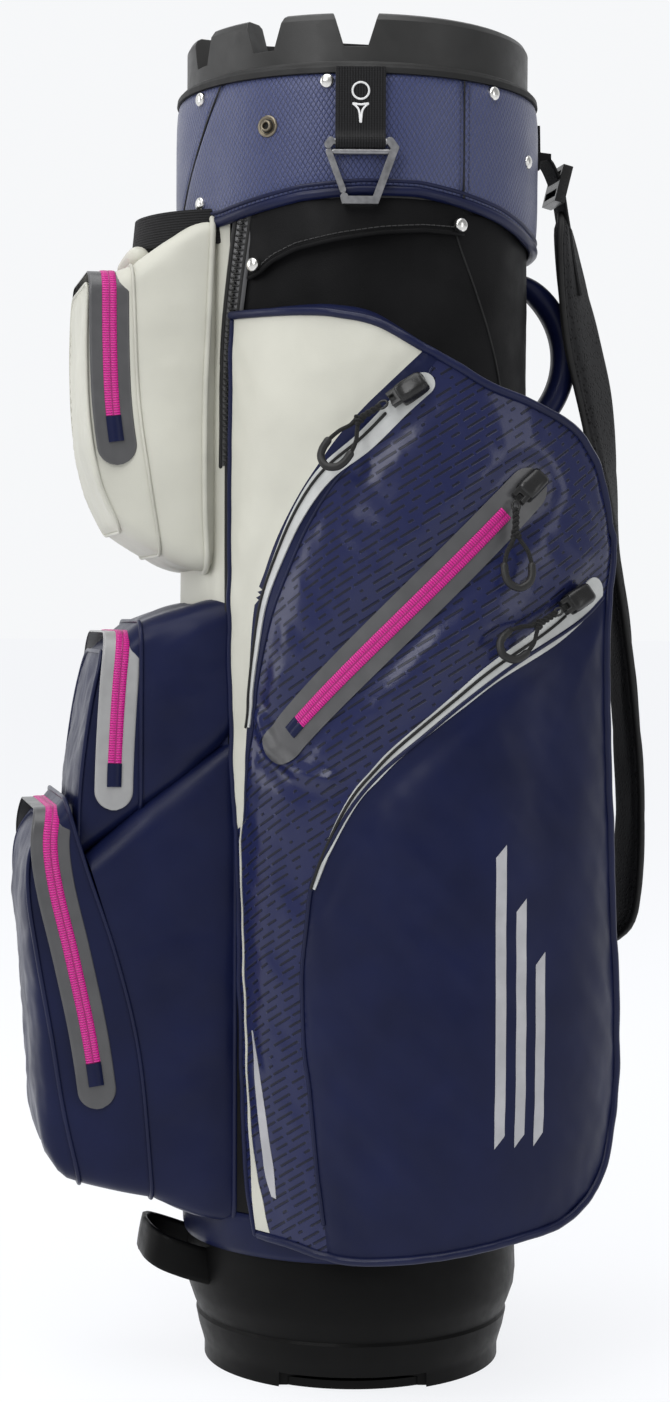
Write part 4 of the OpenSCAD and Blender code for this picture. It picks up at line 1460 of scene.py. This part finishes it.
grab = Shape()
path, normals = [], []
for d in np.linspace(-124, 124, 90):
    r = 56.8 + 0.5 * math.sin(math.radians(d * 3))
    x, y = at(d, r)
    droop = 2.0 * math.cos(math.radians(d * 0.72)) ** 2
    path.append((x, y - 92.4, 753.5 - droop))
    normals.append((*at(d, 1.0), 0.10))
webbing_band(grab, path, normals, 23, 2.2)
grab.make("front_webbing_handle", MAT["webbing"], replaces=["front_grab_handle"], slot="webbing_black")

grip = Shape()
path, normals, radii = [], [], []
for d in np.linspace(-66, 66, 70):
    c, s = math.cos(math.radians(d)), math.sin(math.radians(d))
    path.append((0, 88.2 + 57.8 * c, 679 + 57.8 * s))
    normals.append((0, c, s))
q, along, side, up = frames(path, normals)
rows, flat = [], []
run = lengths(q)
for i in range(len(q)):
    swell = 1 - 0.45 * (abs(i - 34.5) / 34.5) ** 6
    row = []
    for k in range(25):
        t = 2 * math.pi * k / 24
        wide = 9.0 + 1.0 * (1 - swell)
        seam = 0.5 * math.exp(-(((t - 1.5 * math.pi) / 0.12) ** 2))
        row.append(q[i] + side[i] * (wide + 2) * math.cos(t) + up[i] * (8.6 * swell - seam) * math.sin(t))
    rows.append(row)
    flat.append([(run[i], 8 * 2 * math.pi * k / 24) for k in range(25)])
grip.grid(rows, uv=flat)
obj = grip.make("rear_grip", MAT["navy"], replaces=["rear_carry_handle"], slot="handle_navy")

STRAP = [
    (144, 778), (151, 735), (160, 690), (171, 640), (181, 560), (190, 470), (196, 400), (197, 350),
    (193, 300), (182, 277),
]
mid = np.array([(0, y, z) for y, z in curve(STRAP, 5)])
d = unit(np.gradient(mid, axis=0))
out_n = np.stack([np.zeros(len(d)), -d[:, 2], d[:, 1]], 1)
run = lengths(mid)
# the pad twists a little where it leaves the buckle, so its face turns to the right
twist = np.radians(-42 * np.exp(-(((mid[:, 2] - 670) / 125) ** 2)))
across = np.outer(np.cos(twist), (1, 0, 0)) + out_n * np.sin(twist)[:, None]
out_n = out_n * np.cos(twist)[:, None] - np.outer(np.sin(twist), (1, 0, 0))


def pad_edge(s):
    """How near a place along the pad is to an end, and the pad's half width there."""
    near = min(s, run[-1] - s)
    end = math.sqrt(max(0.05, 1 - (1 - min(near / PAD_ROUND, 1)) ** 2))
    return near, PAD_HALF_WIDTH * end * (0.93 + 0.07 * math.cos(s / 90))


pad = Shape()
rows, flat = [], []
for i, p in enumerate(mid):
    near, w = pad_edge(run[i])
    t = 5.6 * min(1, 0.35 + near / 16)
    quilt = 0.85 + 0.15 * abs(math.sin(run[i] / 19.0)) ** 0.4
    row, line = [], []
    for k in range(48):
        a = 2 * math.pi * k / 48
        cx, cy = signed(math.cos(a), 0.45), signed(math.sin(a), 0.8)
        edge = 1 - 0.25 * math.exp(-(((abs(cx) - 0.86) / 0.06) ** 2))
        bend = sway(k * 7.5, run[i], 40, 0.8, 3.0)
        row.append(p + across[i] * w * cx + out_n[i] * (t * cy * quilt * edge + bend))
        line.append((run[i], PAD_HALF_WIDTH * cx))
    rows.append(row)
    flat.append(line)
pad.grid(rows, closed_cols=True, uv=flat)
close_ends(pad, len(rows), 48)
obj = pad.make("strap_pad", MAT["mesh"], body="strap", replaces=["shoulder_strap"], slot="strap_cloth")
binding = Shape()
one, two = ([p + across[i] * side * pad_edge(run[i])[1] for i, p in enumerate(mid)] for side in (1, -1))
loop = one + two[::-1]
tube(binding, loop, 2.3, [(1, 0.01, 0)] * len(loop), sides=10, closed=True)
binding.make("strap_binding", MAT["trim"], body="strap", slot="strap_cloth")
ends = Shape()
upper_end = [
    (129.5, 815), (133.5, 811), (137.5, 803), (141.5, 792), (144, 778), (146.5, 764), (149, 748), (154, 722),
]
for pts in (upper_end, [(184, 288), (178, 272), (160, 263), (138, 257)]):
    q = np.array([(0, y, z) for y, z in curve(pts, 3)])
    g = unit(np.gradient(q, axis=0))
    n = np.stack([np.zeros(len(g)), -g[:, 2], g[:, 1]], 1)
    webbing_band(ends, q - n * 1.1, n, 25, 2.4)
ends.make("strap_webbing", MAT["webbing"], body="strap", slot="webbing_black")

# ---------------------------------------------------------------- zip pulls


def circle_centre(a, b, c):
    """The centre of the circle through three points."""
    u, v = b - a, c - a
    w = u.cross(v)
    return a + (w.cross(u) * v.length_squared + v.cross(w) * u.length_squared) / (2 * w.length_squared)


def slider_frame(i):
    """The CAD's frame of a side zip's slider: x down the zip, z outwards."""
    pts, rise = (
        ([(130, 638), (66, 575), (31, 508)], 4.4),
        ([(207, 579), (131, 501), (55, 425)], 3.6),
        ([(240, 510), (142, 429), (80, 345)], 5.8),
    )[i]
    p = [Vector(side_at(u, z, rise)) for u, z in pts]
    c = circle_centre(*p)
    k = (p[0] - c).cross(p[2] - c).normalized()
    x = k.cross((p[0] - c).normalized())
    mid_n = Vector(side_normal(pts[1][0]))
    turn = math.atan2((p[0] - c).cross(p[1] - c).dot(k), (p[0] - c).dot(p[1] - c))
    lean = Matrix.Rotation(-turn, 3, k) @ mid_n
    z = (lean - x * lean.dot(x)).normalized()
    y = z.cross(x)
    m = Matrix((x, y, z)).transposed().to_4x4()
    m.translation = p[0]
    return m


def local(shape, m):
    """A shape moved by a matrix, which may mirror it."""
    out = Shape()
    out.verts = [tuple(m @ Vector(v)) for v in shape.verts]
    out.faces, out.uv, out.slots = shape.faces, shape.uv, shape.slots
    if m.determinant() < 0:
        out.faces = [f[::-1] for f in out.faces]
    return out


def pull(turn, bend, lift):
    """A cord tied to the slider's ring, with a knot and a moulded grip round the loop's end."""
    s = Shape()
    hang = Matrix.Rotation(math.radians(bend), 4, "Z")
    hang = Matrix.Translation((20, 0, 0)) @ hang @ Matrix.Translation((-20, 0, 0))

    def part(points, r, slot, sides=8, hung=True, closed=False):
        points = [tuple(hang @ Vector(q)) if hung else q for q in points]
        tube(s, points, r, [(0, 0, 1)] * len(points), slot=slot, sides=sides, closed=closed)

    ring = [(3.4 - 3.4 * math.cos(k), 2.3 * math.sin(k), 0) for k in turns(24)]
    part(ring, 0.8, 1, hung=False, closed=True)
    for sign in (1, -1):
        twist = [(x, 0.9 * x) for x in np.linspace(5.5, 20, 30)]
        strand = [(x, sign * math.cos(a), 0.8 * sign * math.sin(a)) for x, a in twist]
        part(strand, 1.35, 0, hung=False)
    knot = [(21.6 + 1.9 * math.cos(k), 2.2 * math.sin(k * 2), 1.6 * math.sin(k * 3)) for k in turns(48)]
    part(knot, 1.2, 0, closed=True)
    tip = [(53, 6.0, 0), (56, 0, 0), (53, -6.0, 0)]
    one = [(22, 0.6, 0), (27, 3.4, 0.2), (34, 7.2, 0.2), (45, 8.8, 0)]
    two = [(45, -8.8, 0), (34, -6.6, -0.2), (27, -2.8, -0.2), (22, -0.6, 0)]
    part(curve(one + tip + two, 1.2), 1.4, 0)
    part(curve([(42, 8.7, 0), (48, 8.3, 0)] + tip + [(48, -8.3, 0), (42, -8.6, 0)], 1.0), 2.5, 2, sides=12)
    m = Matrix.Translation((9.6, 0, 3.7)) @ Matrix.Rotation(math.radians(turn), 4, "Z")
    return local(s, m @ Matrix.Rotation(math.radians(-lift), 4, "Y"))


def dock():
    """The moulded cap that parks a slider at the top of its zip."""
    sections = (
        (-17, 4.6, 2.4), (-16.2, 5.9, 4.4), (-14, 6.6, 5.6), (-4, 6.9, 6.6), (0.5, 6.7, 6.4), (1.8, 6.2, 5.6),
        (2.0, 5.0, 3.0),
    )
    arch = [(signed(math.cos(a), 0.5), abs(math.sin(a)) ** 0.45) for a in np.linspace(0, math.pi, 22)]
    s = Shape().grid([[(x, w * c, -3.4 + (h + 3.0) * k) for c, k in arch] for x, w, h in sections])
    close_ends(s, len(sections), len(arch), flip=True)
    return s


for i in range(3):
    m = slider_frame(i)
    for side, flip in (("right", Matrix.Identity(4)), ("left", Matrix.Scale(-1, 4, (1, 0, 0)))):
        mats = [MAT["cord"], MAT["hardware"], MAT["rubber"]]
        node = f"zip_pull_{side}_{i + 1}"
        shape = local(pull(*PULLS[i]), flip @ m)
        shape.make(f"pull_{side}_{i + 1}", mats, body=node, replaces=[node], slot="pull_rubber")
        local(dock(), flip @ m).make(f"zip_dock_{side}_{i + 1}", MAT["hardware"], slot="zip_hardware")

# ---------------------------------------------------------------- printed graphic

# Three plain slanted bars in grey, a simple geometric accent low on the side panel.
bars = Shape()
for k, (z0, z1) in enumerate(((170, 352), (170, 318), (170, 284))):
    u = 188 + 13 * k
    outline = straight([(u, z0), (u + 6.5, z0 + 8), (u + 6.5, z1 + 8), (u, z1), (u, z0)], 5)[:-1]
    patch(bars, outline, 0.25, 4.0, 0.3, 0)
pair(bars, "side_print", MAT["print"], slot="navy_leatherette")

# ---------------------------------------------------------------- camera, floor and light


def camera():
    """A camera 1.7 m off, 12 degrees round to the front from the bag's right, looking slightly down."""
    th = math.radians(12)
    near = Vector((math.cos(th), -math.sin(th), 0))
    right = Vector((math.sin(th), math.cos(th), 0))
    yaw, pitch, roll = (math.radians(d) for d in (0.435614, 1.856476, 0.3))
    forward = -near * math.cos(yaw) - right * math.sin(yaw)
    forward = forward * math.cos(pitch) + Vector((0, 0, -1)) * math.sin(pitch)
    forward.normalize()
    r0 = forward.cross(Vector((0, 0, 1))).normalized()
    u0 = r0.cross(forward)
    x = r0 * math.cos(roll) + u0 * math.sin(roll)
    y = u0 * math.cos(roll) - r0 * math.sin(roll)
    cam = bpy.data.cameras.new("camera")
    cam.sensor_fit = "VERTICAL"
    cam.sensor_height = 36.0
    cam.lens = 64.168331
    cam.clip_start, cam.clip_end = 0.05, 200.0
    obj = bpy.data.objects.new("camera", cam)
    m = Matrix((x, y, -forward)).transposed().to_4x4()
    m.translation = (near * 1700 + Vector((0, 0, 499))) * MM
    obj.matrix_world = m
    link(obj)
    bpy.context.scene.camera = obj


camera()


def light(name, where, aim, size, power):
    """One soft rectangular lamp."""
    data = bpy.data.lights.new(name, "AREA")
    data.shape = "RECTANGLE"
    data.size, data.size_y = size
    data.energy = power
    obj = bpy.data.objects.new(name, data)
    obj.location = where
    obj.rotation_euler = (Vector(aim) - Vector(where)).to_track_quat("-Z", "Y").to_euler()
    link(obj)


light("key", (2.2, -1.9, 2.1), (0, 0, 0.55), (1.2, 1.6), 33)
light("fill", (2.4, 2.0, 1.0), (0, 0, 0.45), (0.9, 1.8), 9)
light("top", (0.6, -0.4, 3.0), (0, 0, 0.2), (2.4, 2.4), 46)
light("front", (-0.4, -2.8, 1.3), (0, 0, 0.5), (1.0, 1.8), 15)


def fade(tree, output, *values):
    """A value that changes smoothly along x: the two places, then the value at each of them."""
    look = tree.nodes.new("ShaderNodeTexCoord")
    axes = tree.nodes.new("ShaderNodeSeparateXYZ")
    level = tree.nodes.new("ShaderNodeMapRange")
    level.interpolation_type = "SMOOTHSTEP"
    tree.links.new(look.outputs[output], axes.inputs[0])
    tree.links.new(axes.outputs[0], level.inputs[0])
    for k, value in enumerate(values):
        level.inputs[k + 1].default_value = value
    return level.outputs[0]


floor_mesh = bpy.data.meshes.new("floor")
far = 60
corners = [(-far, -far, 0), (far, -far, 0), (far, far, 0), (-far, far, 0)]
floor_mesh.from_pydata(corners, [], [(0, 1, 2, 3)])
floor = bpy.data.objects.new("floor", floor_mesh)
link(floor)
pale = Paint("floor_pale", (0.20, 0.202, 0.205), 0.9, specular=0.0)
pale.b.inputs["Emission Color"].default_value = (0.965, 0.975, 1.0, 1)
pale.put(pale.b.inputs["Emission Strength"], fade(pale.t, "Object", 0.05, 1.1, 0.835, 0.62))
floor_mesh.materials.append(pale.m)

# The room is white beyond the bag and dim on the camera's side, so that dark cloth stays dark.
world = bpy.data.worlds.new("studio")
world.use_nodes = True
back = world.node_tree.nodes["Background"]
back.inputs[0].default_value = (0.975, 0.985, 1.0, 1)
shade = fade(world.node_tree, "Generated", -0.75, 0.1, 0.95, 0.34)
world.node_tree.links.new(shade, back.inputs[1])
bpy.context.scene.world = world
bpy.context.scene.view_settings.view_transform = "Standard"
